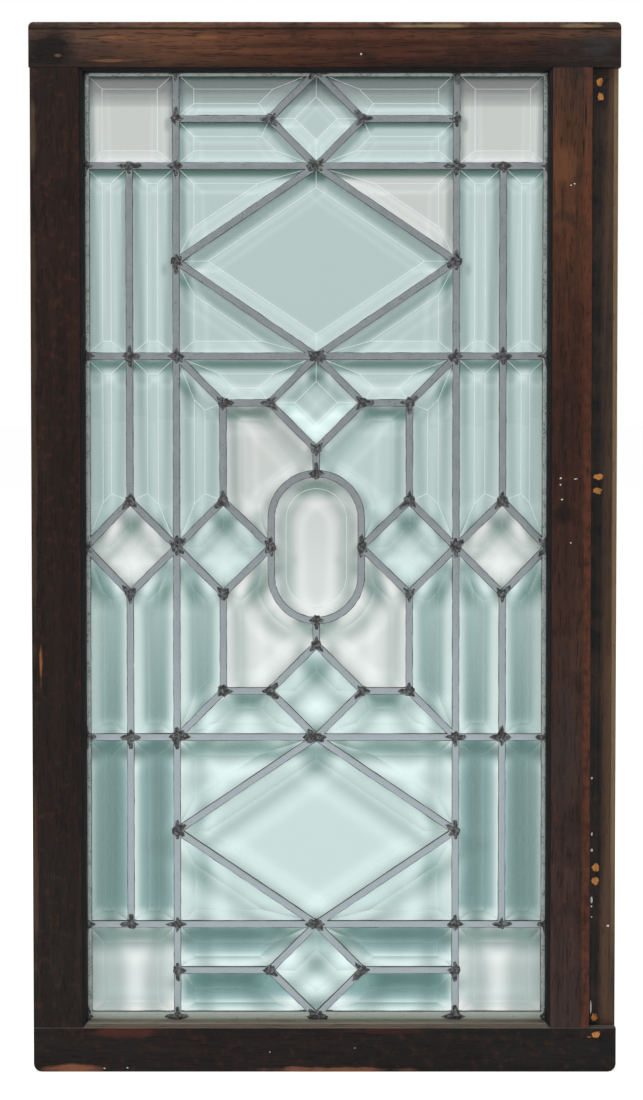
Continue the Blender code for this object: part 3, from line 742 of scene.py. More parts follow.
def sweep(bm, ring, length, step):
    """Runs a ring of vertices along +Z and closes both ends."""
    count = max(1, round(length / step))
    edges = list({edge for vert in ring for edge in vert.link_edges})
    made = list(ring)
    bmesh.ops.contextual_create(bm, geom=edges)
    for _ in range(count):
        fresh, edges = carried_on(bm, edges)
        bmesh.ops.translate(bm, verts=list(fresh), vec=(0, 0, length / count))
        made += fresh
    bmesh.ops.contextual_create(bm, geom=edges)
    return made


def along(start, end):
    """The turn and place that take a run along +Z to a line on the panel."""
    start, end = on_panel(*start), on_panel(*end)
    rise = (end - start).normalized()
    across = Vector((0, 1, 0)).cross(rise)
    turn = Matrix((across, Vector((0, 1, 0)), rise)).transposed().to_4x4()
    return Matrix.Translation(start) @ turn, (end - start).length


def came(start, end, width, flange, shake):
    """One length of came: two faces and the heart between them."""
    bm = bmesh.new()
    place, length = along(start, end)
    for depth in (LEAD_FRONT + flange / 2, LEAD_BACK - flange / 2):
        ring = flange_ring(bm, width, flange)
        verts = sweep(bm, ring, length, CAME_STEP)
        for vert in verts:
            drift = noise.noise(Vector((vert.co.z * 45, shake, depth * 900)))
            vert.co.x += drift * CAME_DRIFT
            wave = noise.noise(Vector((vert.co.z * 70, shake + 9, vert.co.x * 300)))
            vert.co.y += wave * CAME_WAVE
        bmesh.ops.transform(bm, verts=verts, matrix=place @ Matrix.Translation((0, depth, 0)))
    heart = bmesh.ops.create_cube(bm, size=1)["verts"]
    deep = LEAD_BACK - LEAD_FRONT - flange
    bmesh.ops.scale(bm, verts=heart, vec=(HEART_REACH, deep, length))
    middle = Matrix.Translation((0, (LEAD_FRONT + LEAD_BACK) / 2, length / 2))
    bmesh.ops.transform(bm, verts=heart, matrix=place @ middle)
    return bm


def round_oval(bm, ring, steps):
    """Runs a closed ring of vertices, drawn at the foot of the oval's right side, right round it."""
    straight = OVAL_V - OVAL_U
    bmesh.ops.translate(bm, verts=ring, vec=on_panel(OVAL_U, -straight))
    edges = list({edge for vert in ring for edge in vert.link_edges})
    for rise, centre_v in ((1, straight), (-1, -straight)):
        fresh, edges = carried_on(bm, edges)
        bmesh.ops.translate(bm, verts=list(fresh), vec=(0, 0, rise * 2 * straight))
        run = bmesh.ops.spin(
            bm, geom=edges, cent=on_panel(0, centre_v), axis=(0, -1, 0), dvec=(0, 0, 0),
            angle=math.pi, steps=steps, use_merge=False)["geom_last"]
        edges = [item for item in run if isinstance(item, bmesh.types.BMEdge)]
    bmesh.ops.remove_doubles(bm, verts=bm.verts, dist=MERGE)
    bmesh.ops.recalc_face_normals(bm, faces=bm.faces)


def oval_came(width, flange):
    """The came bent round the oval pane."""
    parts = []
    for depth in (LEAD_FRONT + flange / 2, LEAD_BACK - flange / 2):
        bm = bmesh.new()
        ring = flange_ring(bm, width, flange)
        bmesh.ops.translate(bm, verts=ring, vec=(0, depth, 0))
        round_oval(bm, ring, 24)
        parts.append(bm)
    return join_parts(parts)


def build_cames(sizes, finish):
    parts = [oval_came(sizes.came_width, sizes.flange)]
    for index, (start, end) in enumerate(came_runs()):
        parts.append(came(start, end, sizes.came_width, sizes.flange, index * 3.7))
    for index, (start, end) in enumerate(border_runs()):
        parts.append(came(start, end, sizes.border_width, sizes.flange, index * 5.1 + 400))
    bm = join_parts(parts)
    bmesh.ops.recalc_face_normals(bm, faces=bm.faces)
    piece = add_piece("came_lengths", bm, finish, ["lead_cames"])
    shade(piece, 50)


def add_bead(bm, start, end, reach, depth, size, shake):
    """A ragged line of cement along one edge of a came, plainer behind."""
    place, length = along(start, end)
    ring = bmesh.ops.create_circle(bm, cap_ends=False, segments=BEAD_SIDES, radius=1)["verts"]
    verts = sweep(bm, ring, length, BEAD_STEP_FRONT if depth < MIDDLE.y else BEAD_STEP_BACK)
    for vert in verts:
        along_came = vert.co.z
        fine = noise.noise(Vector((along_came * 260, shake, reach * 900)))
        broad = noise.noise(Vector((along_came * 55, shake + 20, reach * 900)))
        thick = size * max(0.25, 1 + 0.7 * fine + 0.7 * broad)
        vert.co.x = reach + vert.co.x * thick
        vert.co.y = vert.co.y * size * BEAD_FLATNESS
    bmesh.ops.transform(bm, verts=verts, matrix=place @ Matrix.Translation((0, depth, 0)))


def oval_bead(reach, depth, size):
    """A line of cement round the oval came."""
    bm = bmesh.new()
    ring = bmesh.ops.create_circle(bm, cap_ends=False, segments=BEAD_SIDES, radius=1)["verts"]
    bmesh.ops.scale(bm, verts=ring, vec=(size, size * BEAD_FLATNESS, 1))
    bmesh.ops.translate(bm, verts=ring, vec=(reach, depth, 0))
    round_oval(bm, ring, 40)
    for vert in bm.verts:
        away = Vector((vert.co.x - MIDDLE.x, 0, vert.co.z - MIDDLE.z)).normalized()
        vert.co += away * size * noise.noise(vert.co * 300)
    return bm


def build_cement(sizes, finish):
    """The dark line that old glazing cement leaves along both edges of every came."""
    parts = []
    front = LEAD_FRONT + sizes.flange
    back = LEAD_BACK - sizes.flange
    for width, runs in ((sizes.came_width, came_runs()), (sizes.border_width, border_runs())):
        for index, (start, end) in enumerate(runs):
            bm = bmesh.new()
            for side in (-1, 1):
                for depth in (front, back):
                    add_bead(bm, start, end, side * width / 2, depth, sizes.cement, index * 7.3 + side)
            parts.append(bm)
    for depth in (front, back):
        for side in (-1, 1):
            parts.append(oval_bead(side * sizes.came_width / 2, depth, sizes.cement))
    bm = join_parts(parts)
    bmesh.ops.recalc_face_normals(bm, faces=bm.faces)
    piece = add_piece("glazing_cement", bm, finish)
    shade(piece, 60)


def joints():
    """Where came lengths meet, with the ways that lead from each."""
    crossings = [(side * CORNER_U, end * CORNER_V) for side in (-1, 1) for end in (-1, 1)]
    crossings += [(side * OUTER_U, end * BAND_V) for side in (-1, 1) for end in (-1, 1)]
    meets = {(round(u, 4), round(v, 4)): [] for u, v in crossings}
    for start, end in came_runs() + border_runs():
        for here, there in ((start, end), (end, start)):
            key = (round(here[0], 4), round(here[1], 4))
            meets.setdefault(key, []).append((Vector(there) - Vector(here)).normalized())
    for start, end in came_runs() + border_runs():
        line = Vector(end) - Vector(start)
        for key, ways in meets.items():
            away = Vector(key) - Vector(start)
            share = away.dot(line) / line.length_squared
            if 0.01 < share < 0.99 and (away - line * share).length < 0.002:
                ways += [line.normalized(), -line.normalized()]
    for side in (-1, 1):
        meets[(round(side * OVAL_U, 4), 0.0)] += [Vector((0, 1)), Vector((0, -1))]
        meets[(0.0, round(side * OVAL_V, 4))] += [Vector((1, 0)), Vector((-1, 0))]
    return meets


def joint(place, ways, size, depth, facing, seed):
    """A flat lump of solder that runs a little way down each came, plainer behind."""
    bm = bmesh.new()
    lump = bmesh.ops.create_icosphere(bm, subdivisions=3 if facing > 0 else 2, radius=1)["verts"]
    draw = random.Random(seed)
    lobes = [(way, draw.uniform(0.85, 1.55)) for way in ways]
    core = draw.uniform(0.52, 0.66)
    for vert in lump:
        flat = Vector((vert.co.x, vert.co.z))
        radius = flat.length
        reach = core
        if radius > HAIR:
            for way, length in lobes:
                lined = max(0.0, flat.dot(way) / radius)
                reach = max(reach, length * lined ** 8)
        ragged = 1 + 0.3 * noise.noise(Vector((vert.co.x * 2, vert.co.z * 2, seed * 1.3)))
        ragged += 0.16 * noise.noise(Vector((vert.co.x * 7, vert.co.z * 7, seed * 2.1)))
        flat = flat * reach * size * ragged
        lumps = 1 + 0.5 * noise.noise(vert.co * 3 + Vector((seed, 0, 0)))
        lumps += 0.35 * noise.noise(vert.co * 8 + Vector((seed, 4, 0)))
        high = vert.co.y * SOLDER_HEIGHT * lumps
        vert.co = on_panel(place[0] + flat.x, place[1] + flat.y, depth + high * facing)
    return bm


def build_joints(sizes, finish):
    parts = []
    for index, (place, ways) in enumerate(sorted(joints().items(), key=lambda item: item[0])):
        for depth, facing in ((LEAD_FRONT + SOLDER_SINK, 1), (LEAD_BACK - SOLDER_SINK, -1)):
            parts.append(joint(place, ways, sizes.joint_size, depth, facing, index * 2 + (facing > 0)))
    bm = join_parts(parts)
    bmesh.ops.recalc_face_normals(bm, faces=bm.faces)
    piece = add_piece("solder_joints", bm, finish)
    shade(piece, 60)


# Glass

def pane_backs(node):
    """The outlines of a pane node's flat back: one for a pane, two for a pair of strips."""
    bm = bmesh.new()
    bm.from_mesh(node.data)
    bmesh.ops.remove_doubles(bm, verts=bm.verts, dist=MERGE)
    raised = [face for face in bm.faces if min(vert.co.y for vert in face.verts) < GLASS_BACK - HAIR]
    bmesh.ops.delete(bm, geom=raised, context="FACES")
    bmesh.ops.dissolve_limit(bm, angle_limit=math.radians(0.5), verts=bm.verts, edges=bm.edges)
    outlines = [[vert.co.copy() for vert in face.verts] for face in bm.faces]
    bm.free()
    return sorted(outlines, key=lambda outline: sum(abs(p.x - MIDDLE.x) for p in outline) / len(outline))


def off_oval(point):
    """How far a point stands from the middle line of the oval's straight and round sides."""
    straight = OVAL_V - OVAL_U
    u, v = point.x - MIDDLE.x, point.z - MIDDLE.z
    return math.hypot(u, v - max(-straight, min(straight, v)))


def beside_oval(here, there):
    """True for a side of a pane that follows the oval came."""
    return all(abs(off_oval(end) - OVAL_U) < 3 * HEART_REACH for end in (here, there))


def oval_outline(reach, steps=36):
    """The oval drawn this far inside its came line."""
    straight, radius = OVAL_V - OVAL_U, OVAL_U - reach
    outline = []
    for centre_v, start in ((straight, 0), (-straight, math.pi)):
        for step in range(steps + 1):
            turn = start + math.pi * step / steps
            outline.append(on_panel(
                radius * math.cos(turn), centre_v + radius * math.sin(turn), GLASS_BACK))
    return outline


def bevel_width(out, sizes):
    """The width of the bevel on a side that faces a given way."""
    if out.z > 0.9:
        return sizes.bevel_top
    if out.z < -0.9:
        return sizes.bevel_bottom
    if abs(out.x) > 0.9:
        return sizes.bevel_side
    return (sizes.bevel_top + sizes.bevel_side) / 2


def grind(bm, corner, side, out, width, rise):
    """Cuts one bevel off the front of a pane."""
    slope = Vector((0, -1, 0)) * rise - out * width
    normal = side.cross(slope).normalized()
    if normal.dot(out) < 0:
        normal.negate()
    geom = bm.verts[:] + bm.edges[:] + bm.faces[:]
    cut = bmesh.ops.bisect_plane(
        bm, geom=geom, plane_co=corner, plane_no=normal, clear_outer=True, dist=MERGE / 10)["geom_cut"]
    edges = [item for item in cut if isinstance(item, bmesh.types.BMEdge)]
    bmesh.ops.contextual_create(bm, geom=edges)


def slab(bm, outline, thickness):
    """A pane before grinding. Gives back its front face."""
    face = bm.faces.new([bm.verts.new(point) for point in outline])
    run = bmesh.ops.extrude_face_region(bm, geom=[face])["geom"]
    fresh = [item for item in run if isinstance(item, bmesh.types.BMVert)]
    bmesh.ops.translate(bm, verts=fresh, vec=(0, -thickness, 0))
    bmesh.ops.recalc_face_normals(bm, faces=bm.faces)
    return [item for item in run if isinstance(item, bmesh.types.BMFace)]


def sides_of(outline):
    """Each side of an outline as its start, its end and the way out of the pane."""
    pairs = list(zip(outline, outline[1:] + outline[:1]))
    area = sum(here.x * there.z - there.x * here.z for here, there in pairs)
    turn = Vector((0, 1, 0)) if area > 0 else Vector((0, -1, 0))
    for here, there in pairs:
        yield here, there, turn.cross((there - here).normalized())


def ground_pane(outline, sizes):
    """A slab with a bevel ground along each side, by the flat wheel and, at the oval, a round one."""
    bm = bmesh.new()
    slab(bm, outline, GLASS_BACK - GLASS_FRONT)
    edge_front = GLASS_BACK - sizes.glass_edge
    rise = edge_front - GLASS_FRONT
    straight = [side for side in sides_of(outline) if not beside_oval(*side[:2])]
    for here, there, out in straight:
        corner = Vector((here.x, edge_front, here.z))
        grind(bm, corner, (there - here).normalized(), out, bevel_width(out, sizes), rise)
    bmesh.ops.recalc_face_normals(bm, faces=bm.faces)
    if len(straight) < len(outline):
        bm = less(bm, oval_wheel(sizes, edge_front, rise))
    return bm


def oval_wheel(sizes, edge_front, rise):
    """What a round wheel takes off the panes that meet the oval came."""
    bm = bmesh.new()
    spare = HEART_REACH
    slope = rise / sizes.bevel_bottom
    near, far = HEART_REACH - spare, HEART_REACH + sizes.bevel_bottom + spare
    front = GLASS_FRONT - spare * slope - HAIR
    section = ((near, front), (far, front), (near, edge_front + spare * slope))
    ring = [bm.verts.new((out, depth, 0)) for out, depth in section]
    for index in range(len(ring)):
        bm.edges.new((ring[index - 1], ring[index]))
    round_oval(bm, ring, 48)
    return bm


def less(bm, tool, ragged=False):
    """One closed shape with another taken off it. A ragged tool leaves all its small faces."""
    made = []
    for name, part in (("whole", bm), ("tool", tool)):
        mesh = bpy.data.meshes.new(name)
        part.to_mesh(mesh)
        part.free()
        mesh.materials.append(None)
        mesh.materials.append(None)
        made.append(bpy.data.objects.new(name, mesh))
        bpy.context.scene.collection.objects.link(made[-1])
    cutting = made[0].modifiers.new("Take off", "BOOLEAN")
    cutting.operation = "DIFFERENCE"
    cutting.object = made[1]
    cutting.use_self = ragged
    result = bmesh.new()
    result.from_object(made[0], bpy.context.evaluated_depsgraph_get())
    for one in made:
        bpy.data.objects.remove(one, do_unlink=True)
    bmesh.ops.remove_doubles(result, verts=result.verts, dist=MERGE)
    if not ragged:
        bmesh.ops.dissolve_limit(
            result, angle_limit=math.radians(0.3), verts=result.verts, edges=result.edges)
    return result


def oval_glass(sizes):
    """The oval pane: its edge run forward, then the table raised inside the bevel."""
    bm = bmesh.new()
    table = slab(bm, oval_outline(HEART_REACH), sizes.glass_edge)
    rise = GLASS_BACK - sizes.glass_edge - GLASS_FRONT
    bmesh.ops.inset_region(
        bm, faces=table, thickness=sizes.bevel_bottom, depth=rise, use_even_offset=True)
    return bm


def ease_ridges(bm, width):
    """Turns the ridges between ground faces into narrow ground lines."""
    bmesh.ops.recalc_face_normals(bm, faces=bm.faces)
    ridges = []
    for edge in bm.edges:
        facing = all(face.normal.y < -0.7 for face in edge.link_faces)
        if facing and edge.is_manifold and edge.calc_face_angle() > math.radians(4):
            ridges.append(edge)
    lines = bmesh.ops.bevel(
        bm, geom=ridges, offset=width / 2, offset_type="OFFSET", segments=1, profile=0.5,
        affect="EDGES", material=-1, clamp_overlap=True)["faces"]
    for face in lines:
        face.material_index = 1


def build_pane(name, outline, sizes, finish, line_finish, node):
    bm = oval_glass(sizes) if node == "oval_pane" else ground_pane(outline, sizes)
    ease_ridges(bm, sizes.ground_line)
    piece = add_piece(name, bm, [finish, line_finish], [node])
    shade(piece, 3)


def is_clear(name):
    """True for the panes of clearer glass."""
    return any(word in name for word in ("square", "oval", "outer_diamond", "arched_pane_top_left",
                                         "arched_pane_bottom", "high_triangle_top_right"))


# Operators

class WINDOW_OT_sash(bpy.types.Operator):
    """Build the rails and stiles of the sash"""

    bl_idname = "window.sash"
    bl_label = "Sash"

    def execute(self, context):
        sizes, colours = context.scene.window_sizes, context.scene.window_colours
        build_member("top_rail", top_rail_wood(colours), sizes.arris)
        bare = bare_wood(colours)
        build_member(
            "bottom_rail", bottom_rail_wood(colours), sizes.arris, bare,
            chip_tool(RAIL_CHIPS, SASH_FRONT))
        build_member("left_stile", left_stile_wood(colours), sizes.arris)
        build_member(
            "right_stile", right_stile_wood(colours), sizes.arris, bare,
            chip_tool(CHIPS, SASH_FRONT + STEP_DEPTH))
        build_flecks(paint_fleck(colours))
        return {"FINISHED"}


class WINDOW_OT_stops(bpy.types.Operator):
    """Build the glazing stops behind the panel"""

    bl_idname = "window.stops"
    bl_label = "Stops"

    def execute(self, context):
        sizes, colours = context.scene.window_sizes, context.scene.window_colours
        level = stop_wood("level_stop_wood", colours, "X")
        upright = stop_wood("upright_stop_wood", colours, "Z")
        for name in STOP_NODES:
            finish = upright if name.startswith(("left", "right")) else level
            build_member(name, finish, sizes.arris / 2)
        return {"FINISHED"}


class WINDOW_OT_leadwork(bpy.types.Operator):
    """Build the cames and their solder joints"""

    bl_idname = "window.leadwork"
    bl_label = "Leadwork"

    def execute(self, context):
        sizes, colours = context.scene.window_sizes, context.scene.window_colours
        build_cames(sizes, lead_material(colours))
        build_cement(sizes, cement_material(colours))
        build_joints(sizes, solder_material(colours))
        return {"FINISHED"}


class WINDOW_OT_glass(bpy.types.Operator):
    """Build the bevelled panes"""

    bl_idname = "window.glass"
    bl_label = "Glass"

    def execute(self, context):
        sizes, colours = context.scene.window_sizes, context.scene.window_colours
        clear = glass_material("clear_glass", colours.glass_clear)
        green = glass_material("green_glass", colours.glass_green)
        crisp = ground_line_material("ground_glass_line", 0.6)
        faint = ground_line_material("faint_glass_line", 0.98)
        for node in sorted(PANE_NODES):
            outlines = pane_backs(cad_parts[node])
            for index, outline in enumerate(outlines):
                name = f"{node}_glass" if len(outlines) == 1 else f"{node}_glass_{index + 1}"
                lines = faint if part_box(node)[1].z < MIDDLE.z + POINT_V else crisp
                build_pane(name, outline, sizes, clear if is_clear(node) else green, lines, node)
        return {"FINISHED"}


class WINDOW_OT_stage(bpy.types.Operator):
    """Set up the floor, the light and the camera"""

    bl_idname = "window.stage"
    bl_label = "Stage"

    def execute(self, context):
        build_stage(context.scene)
        return {"FINISHED"}


# Stage

def add_stage_sheet(name, wide, high, finish, steps=(1, 1)):
    """A flat sheet in the XY plane that isn't part of the object."""
    bm = bmesh.new()
    bmesh.ops.create_grid(bm, x_segments=steps[0], y_segments=steps[1], size=0.5)
    bmesh.ops.scale(bm, verts=bm.verts, vec=(wide, high, 1))
    mesh = bpy.data.meshes.new(name)
    bm.to_mesh(mesh)
    bm.free()
    made = bpy.data.objects.new(name, mesh)
    mesh.materials.append(finish)
    bpy.context.scene.collection.objects.link(made)
    return made


def add_light(name, place, size, power):
    """A soft light that faces the middle of the window."""
    data = bpy.data.lights.new(name, "AREA")
    data.shape = "RECTANGLE"
    data.size, data.size_y = size
    data.energy = power
    made = bpy.data.objects.new(name, data)
    made.location = place
    made.rotation_euler = (Vector(LIGHT_TARGET) - Vector(place)).to_track_quat("-Z", "Y").to_euler()
    bpy.context.scene.collection.objects.link(made)


def floor_material():
    made = Nodes("pale_floor")
    cloud = made.noise(made.place, 3.0, 3, 0.5)
    return made.finish(
        Base_Color=made.mix(cloud, (0.55, 0.55, 0.55), (0.6, 0.6, 0.6)), Roughness=0.9,
        Specular_IOR_Level=0.1, Emission_Color=(1, 1, 1, 1), Emission_Strength=0.72)


def paper_material(name, lit):
    """Pale paper: a still level of light, or the light that its own points carry."""
    material = bpy.data.materials.new(name)
    material.use_nodes = True
    tree = material.node_tree
    tree.nodes.clear()
    glow = tree.nodes.new("ShaderNodeEmission")
    glow.inputs["Color"].default_value = (*PAPER_OPEN, 1)
    if lit:
        light = tree.nodes.new("ShaderNodeAttribute")
        light.attribute_name = "light"
        tree.links.new(light.outputs["Color"], glow.inputs["Color"])
    out = tree.nodes.new("ShaderNodeOutputMaterial")
    tree.links.new(glow.outputs["Emission"], out.inputs["Surface"])
    return material


def away_from_oval(u, v):
    """Distance from the oval's middle line, and the way that leads from it."""
    straight = OVAL_V - OVAL_U
    rise = v - np.clip(v, -straight, straight)
    away = np.hypot(u, rise)
    safe = np.maximum(away, HAIR)
    return away, u / safe, rise / safe


def bevel_slopes(outline, node, sizes, u, v):
    """Where a pane lets light through, and how its thickness grows there."""
    least = np.full(u.shape, 1.0)
    slope_u, slope_v = np.zeros(u.shape), np.zeros(u.shape)
    open_glass = np.ones(u.shape, bool)
    rise = GLASS_BACK - sizes.glass_edge - GLASS_FRONT
    cover = sizes.came_width / 2 - HEART_REACH
    sides = []
    for here, there, out in sides_of(outline):
        if node != "oval_pane" and not beside_oval(here, there):
            inward = -out
            reach = (u - here.x + MIDDLE.x) * inward.x + (v - here.z + MIDDLE.z) * inward.z
            sides.append((reach, inward.x, inward.z, bevel_width(out, sizes)))
    if len(sides) < len(outline):
        away, way_u, way_v = away_from_oval(u, v)
        facing = -1 if node == "oval_pane" else 1
        reach = (away - OVAL_U) * facing - HEART_REACH
        sides.append((reach, way_u * facing, way_v * facing, sizes.bevel_bottom))
    for reach, inward_u, inward_v, width in sides:
        open_glass &= reach > cover
        nearer = reach / width < least
        least = np.where(nearer, reach / width, least)
        slope_u = np.where(nearer, inward_u * rise / width, slope_u)
        slope_v = np.where(nearer, inward_v * rise / width, slope_v)
    return open_glass, slope_u, slope_v, least


def pane_shade(node, slope_u, slope_v, share, v):
    """How far a pane dims the paper right behind it, by its bevels, its width and its height."""
    middle = np.clip((share - 0.25) / 0.35, 0, 1)
    core = np.clip((share - 0.62) / 0.3, 0, 1)
    table = np.clip((share - 0.55) / 0.4, 0, 1)
    low = np.clip((LOW_FROM - v) / (LOW_FROM - LOW_TO), 0, 1)
    deep = v.mean() < DEEP_FROM
    steep = np.hypot(slope_u, slope_v) + HAIR
    way_u, way_v = slope_u / steep, slope_v / steep
    top_bevel = SHADES["square, top bevel"] if "square" in node else SHADES["top bevel"]
    shade = top_bevel * low * (way_v < -0.9) * np.clip(1.6 - 1.2 * share, 0, 1)
    if "strip" in node:
        more = [SHADES["deep strip"] * middle if deep else SHADES["strip"] * core * low]
    elif "outer_trapezoid" in node and deep:
        more = [SHADES["outer trapezoid"] * middle, SHADES["outer trapezoid, foot"] * (way_v > 0.5)]
    elif "trapezoid" in node and deep:
        more = [SHADES["trapezoid"] * middle]
    elif "square_bottom" in node:
        more = [SHADES["square"] - SHADES["square, table less"] * table]
    elif node == "oval_pane":
        more = [SHADES["oval, top"] * (way_v < -0.55) * (1 - share),
                SHADES["oval, sides"] * (abs(way_u) > 0.8) * (share > 0.3)]
    else:
        more = []
    for one in more:
        shade = np.maximum(shade, one)
    return shade


def solder_spots():
    """Where heaps of solder shade the paper: below each, and further the deeper the paper hangs."""
    spots = []
    tops = [(0, v) for v in (BORDER_V, CORNER_V, BAND_V, -STEM_V, -BAND_V, -CORNER_V)]
    tops += [(side * u, POINT_V) for side in (-1, 1) for u in (OUTER_U, 2 * COLUMN)]
    for u, v in tops:
        spots.append((u, v - SPOT_DROP - SPOT_FALL * paper_depth(v), *SPOT_SIZE))
    for u in (BORDER_U, CORNER_U, OVAL_U):
        for side in (-1, 1):
            for way in (-1, 1):
                spots.append((side * u + way * TWIN_APART, TWIN_LEVEL, *TWIN_SIZE))
    return spots


def scatter(total, u, v, amount):
    """Adds light to a grid of points 1 PAPER_STEP apart, shared between the four nearest."""
    rows, columns = total.shape
    column, row = (u + PAPER_U) / PAPER_STEP, (v + PAPER_V) / PAPER_STEP
    keep = (column > 0) & (column < columns - 2) & (row > 0) & (row < rows - 2)
    column, row, amount = column[keep], row[keep], amount[keep]
    left, foot = column.astype(int), row.astype(int)
    right_share, top_share = column - left, row - foot
    for step_u, share_u in ((0, 1 - right_share), (1, right_share)):
        for step_v, share_v in ((0, 1 - top_share), (1, top_share)):
            spots = (foot + step_v) * columns + left + step_u
            total += np.bincount(
                spots, weights=amount * share_u * share_v, minlength=total.size).reshape(total.shape)


def paper_depth(v):
    """How far the paper hangs behind the glass at a height on the panel."""
    return PAPER_FOOT + (PAPER_HEAD - PAPER_FOOT) * (v + BORDER_V) / (2 * BORDER_V)


def paper_grid():
    """The points of the lit paper in the panel's plan, 1 PAPER_STEP apart."""
    columns, rows = round(2 * PAPER_U / PAPER_STEP) + 1, round(2 * PAPER_V / PAPER_STEP) + 1
    return np.meshgrid(np.linspace(-PAPER_U, PAPER_U, columns), np.linspace(-PAPER_V, PAPER_V, rows))


def window_before_paper(sizes, u, v):
    """How much light the window lets through at each point, its slopes, and the paper's shade and gleam."""
    x, z = u + MIDDLE.x, v + MIDDLE.z
    through = np.where((abs(x) > CAD_HIGH.x) | (z < 0) | (z > CAD_HIGH.z), 1.0, 0.0)
    slope_u, slope_v = np.zeros(u.shape), np.zeros(u.shape)
    within = (abs(u) < BORDER_U - sizes.border_width / 2) & (abs(v) < BORDER_V - sizes.border_width / 2)
    shade, gleam = np.zeros(u.shape), np.ones(u.shape)
    for node in PANE_NODES:
        for outline in pane_backs(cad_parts[node]):
            open_glass, pane_u, pane_v, share = bevel_slopes(outline, node, sizes, u, v)
            shade[open_glass] = pane_shade(
                node, *(field[open_glass] for field in (pane_u, pane_v, share, v)))
            facing_down = open_glass & (pane_v > 0.5 * np.hypot(pane_u, pane_v)) & (v > 0)
            gleam[facing_down] = BRIGHT_BEVELS.get(node, BRIGHT_BEVEL)
            open_glass &= within
            through = np.where(open_glass, GLASS_PASSES, through)
            slope_u, slope_v = np.where(open_glass, pane_u, slope_u), np.where(open_glass, pane_v, slope_v)
    for spot_u, spot_v, wide, high in solder_spots():
        spot = np.exp(-((u - spot_u) / wide) ** 2 - ((v - spot_v) / high) ** 2)
        shade = np.maximum(shade, SPOT_STRENGTH * spot * (through > 0))
    for joint_u, joint_v in joints():
        through[np.hypot(u - joint_u, v - joint_v) < sizes.joint_size * JOINT_COVER] = 0
    return through, slope_u, slope_v, shade, gleam


def cast_light(u, v, slope_u, slope_v, amount):
    """The light that each broad light, in small steps, sends through the window to the paper."""
    shape = u.shape
    lit = amount > 0
    u, v, slope_u, slope_v, amount = (field[lit] for field in (u, v, slope_u, slope_v, amount))
    light = np.zeros((*shape, 3))
    fall = (PAPER_HEAD - PAPER_FOOT) / (2 * BORDER_V)
    depth = paper_depth(v)
    for centre, spread, colour in PAPER_LIGHTS:
        offsets = np.arange(-2, 2.01, 4 / LIGHT_STEPS) * spread
        total, weight = np.zeros(shape), 0
        for aside in offsets:
            for down in offsets:
                share = math.exp(-(aside ** 2 + down ** 2) / (2 * spread ** 2))
                run_u = centre[0] + aside + BEND * slope_u
                run_v = centre[1] + down + BEND * slope_v
                travel = depth / (1 - fall * run_v)
                scatter(total, u + run_u * travel, v + run_v * travel, amount * share)
                weight += share
        light += (total / weight)[..., None] * np.array(colour)
    return light


def light_on_paper(sizes):
    """The colour of the light at every point of the paper."""
    u, v = paper_grid()
    through, slope_u, slope_v, shade, gleam = window_before_paper(sizes, u, v)
    light = cast_light(u, v, slope_u, slope_v, through)
    rows = len(light)
    height = np.linspace(0, 1, rows)[:, None, None]
    light += np.array(PAPER_SHADE) + (1 - height) * np.array(PAPER_SHADE_FOOT)
    levels = np.linspace(-PAPER_V, PAPER_V, rows)
    light *= np.interp(levels, *zip(*PAPER_LEVELS))[:, None, None]
    light *= np.interp(BORDER_V - levels, *zip(*HEAD_SHADE))[:, None, None]
    light *= 1 - soften(shade)[..., None] * (1 - np.array(DEEP_SHADE))
    return light * soften(gleam)[..., None]


def soften(field):
    """Spreads a field a little to its neighbours."""
    for axis in (0, 1):
        field = (field + np.roll(field, 1, axis) + np.roll(field, -1, axis)) / 3
    return field


def add_lit_paper(sizes):
    """The sheet close behind the panel, with the light of the panes on it."""
    light = light_on_paper(sizes)
    rows, columns = light.shape[:2]
    sheet = add_stage_sheet("lit_paper", 2 * PAPER_U, 2 * PAPER_V, paper_material("lit_paper", True),
                            (columns - 1, rows - 1))
    mesh = sheet.data
    points = np.empty(len(mesh.vertices) * 3)
    mesh.vertices.foreach_get("co", points)
    points = points.reshape(-1, 3)
    column = np.rint((points[:, 0] + PAPER_U) / PAPER_STEP).astype(int)
    row = np.rint((points[:, 1] + PAPER_V) / PAPER_STEP).astype(int)
    values = np.ones((len(points), 4))
    values[:, :3] = light[row, column]
    mesh.attributes.new("light", "FLOAT_COLOR", "POINT").data.foreach_set("color", values.ravel())
    placed = np.stack([
        points[:, 0] + MIDDLE.x, GLASS_BACK + paper_depth(points[:, 1]), points[:, 1] + MIDDLE.z], 1)
    mesh.vertices.foreach_set("co", placed.ravel())
    return sheet


def build_world(scene):
    """Pale all round, white where the camera sees it."""
    world = bpy.data.worlds.new("studio")
    scene.world = world
    world.use_nodes = True
    tree = world.node_tree
    ground = tree.nodes["Background"]
    path = tree.nodes.new("ShaderNodeLightPath")
    seen = tree.nodes.new("ShaderNodeMath")
    seen.operation = "MAXIMUM"
    tree.links.new(path.outputs["Is Camera Ray"], seen.inputs[0])
    tree.links.new(path.outputs["Is Transmission Ray"], seen.inputs[1])
    level = tree.nodes.new("ShaderNodeMapRange")
    level.inputs["To Min"].default_value = 0.45
    level.inputs["To Max"].default_value = 1.0
    tree.links.new(seen.outputs[0], level.inputs["Value"])
    ground.inputs["Color"].default_value = (1, 1, 1, 1)
    tree.links.new(level.outputs["Result"], ground.inputs["Strength"])


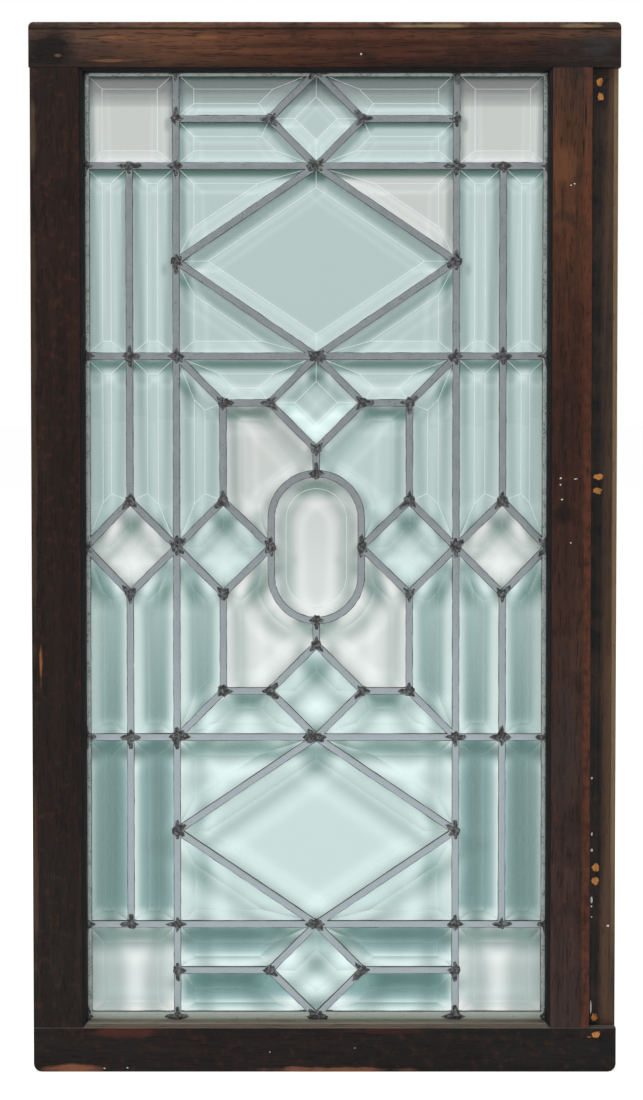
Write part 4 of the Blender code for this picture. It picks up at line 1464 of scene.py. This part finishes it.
def build_stage(scene):
    scene.view_settings.view_transform = "Standard"
    build_world(scene)
    floor = add_stage_sheet("floor", 40, 40, floor_material())
    floor.location = (0, 0, CAD_LOW.z - FLOOR_GAP)
    far_paper = add_stage_sheet("far_paper", 3, 3, paper_material("far_paper", False))
    far_paper.rotation_euler = (math.pi / 2, 0, 0)
    far_paper.location = (0, FAR_PAPER, MIDDLE.z)
    for sheet in (far_paper, add_lit_paper(scene.window_sizes)):
        sheet.visible_camera = False
        sheet.visible_diffuse = False
        sheet.visible_glossy = False
        sheet.visible_shadow = False
    for light in LIGHTS:
        add_light(*light)
    data = bpy.data.cameras.new("camera")
    data.sensor_width = 36
    data.lens = FOCAL_PIXELS / PICTURE_HEIGHT * data.sensor_width
    data.shift_x = PIXELS_RIGHT / PICTURE_HEIGHT
    data.shift_y = PIXELS_UP / PICTURE_HEIGHT
    camera = bpy.data.objects.new("camera", data)
    camera.location = (0, SASH_FRONT - EYE_DISTANCE, EYE_HEIGHT)
    camera.rotation_euler = (math.pi / 2 - EYE_TILT, 0, 0)
    scene.collection.objects.link(camera)
    scene.camera = camera


class WINDOW_PT_panel(bpy.types.Panel):
    """Buttons and values for the window"""

    bl_idname = "WINDOW_PT_panel"
    bl_label = "Bevelled Glass Window"
    bl_space_type = "VIEW_3D"
    bl_region_type = "UI"
    bl_category = "Window"

    def draw(self, context):
        for group in (context.scene.window_sizes, context.scene.window_colours):
            box = self.layout.box()
            for name in group.bl_rna.properties.keys():
                if name not in ("rna_type", "name"):
                    box.prop(group, name)
        for operator in OPERATORS:
            self.layout.operator(operator.bl_idname)


OPERATORS = (WINDOW_OT_stage, WINDOW_OT_sash, WINDOW_OT_stops, WINDOW_OT_leadwork, WINDOW_OT_glass)
CLASSES = (WindowSizes, WindowColours) + OPERATORS + (WINDOW_PT_panel,)


def register():
    for one in CLASSES:
        bpy.utils.register_class(one)
    bpy.types.Scene.window_sizes = bpy.props.PointerProperty(type=WindowSizes)
    bpy.types.Scene.window_colours = bpy.props.PointerProperty(type=WindowColours)


def unregister():
    del bpy.types.Scene.window_colours
    del bpy.types.Scene.window_sizes
    for one in reversed(CLASSES):
        bpy.utils.unregister_class(one)


def main():
    register()
    bpy.ops.window.stage()
    bpy.ops.window.sash()
    bpy.ops.window.stops()
    bpy.ops.window.leadwork()
    bpy.ops.window.glass()


if __name__ == "__main__":
    main()
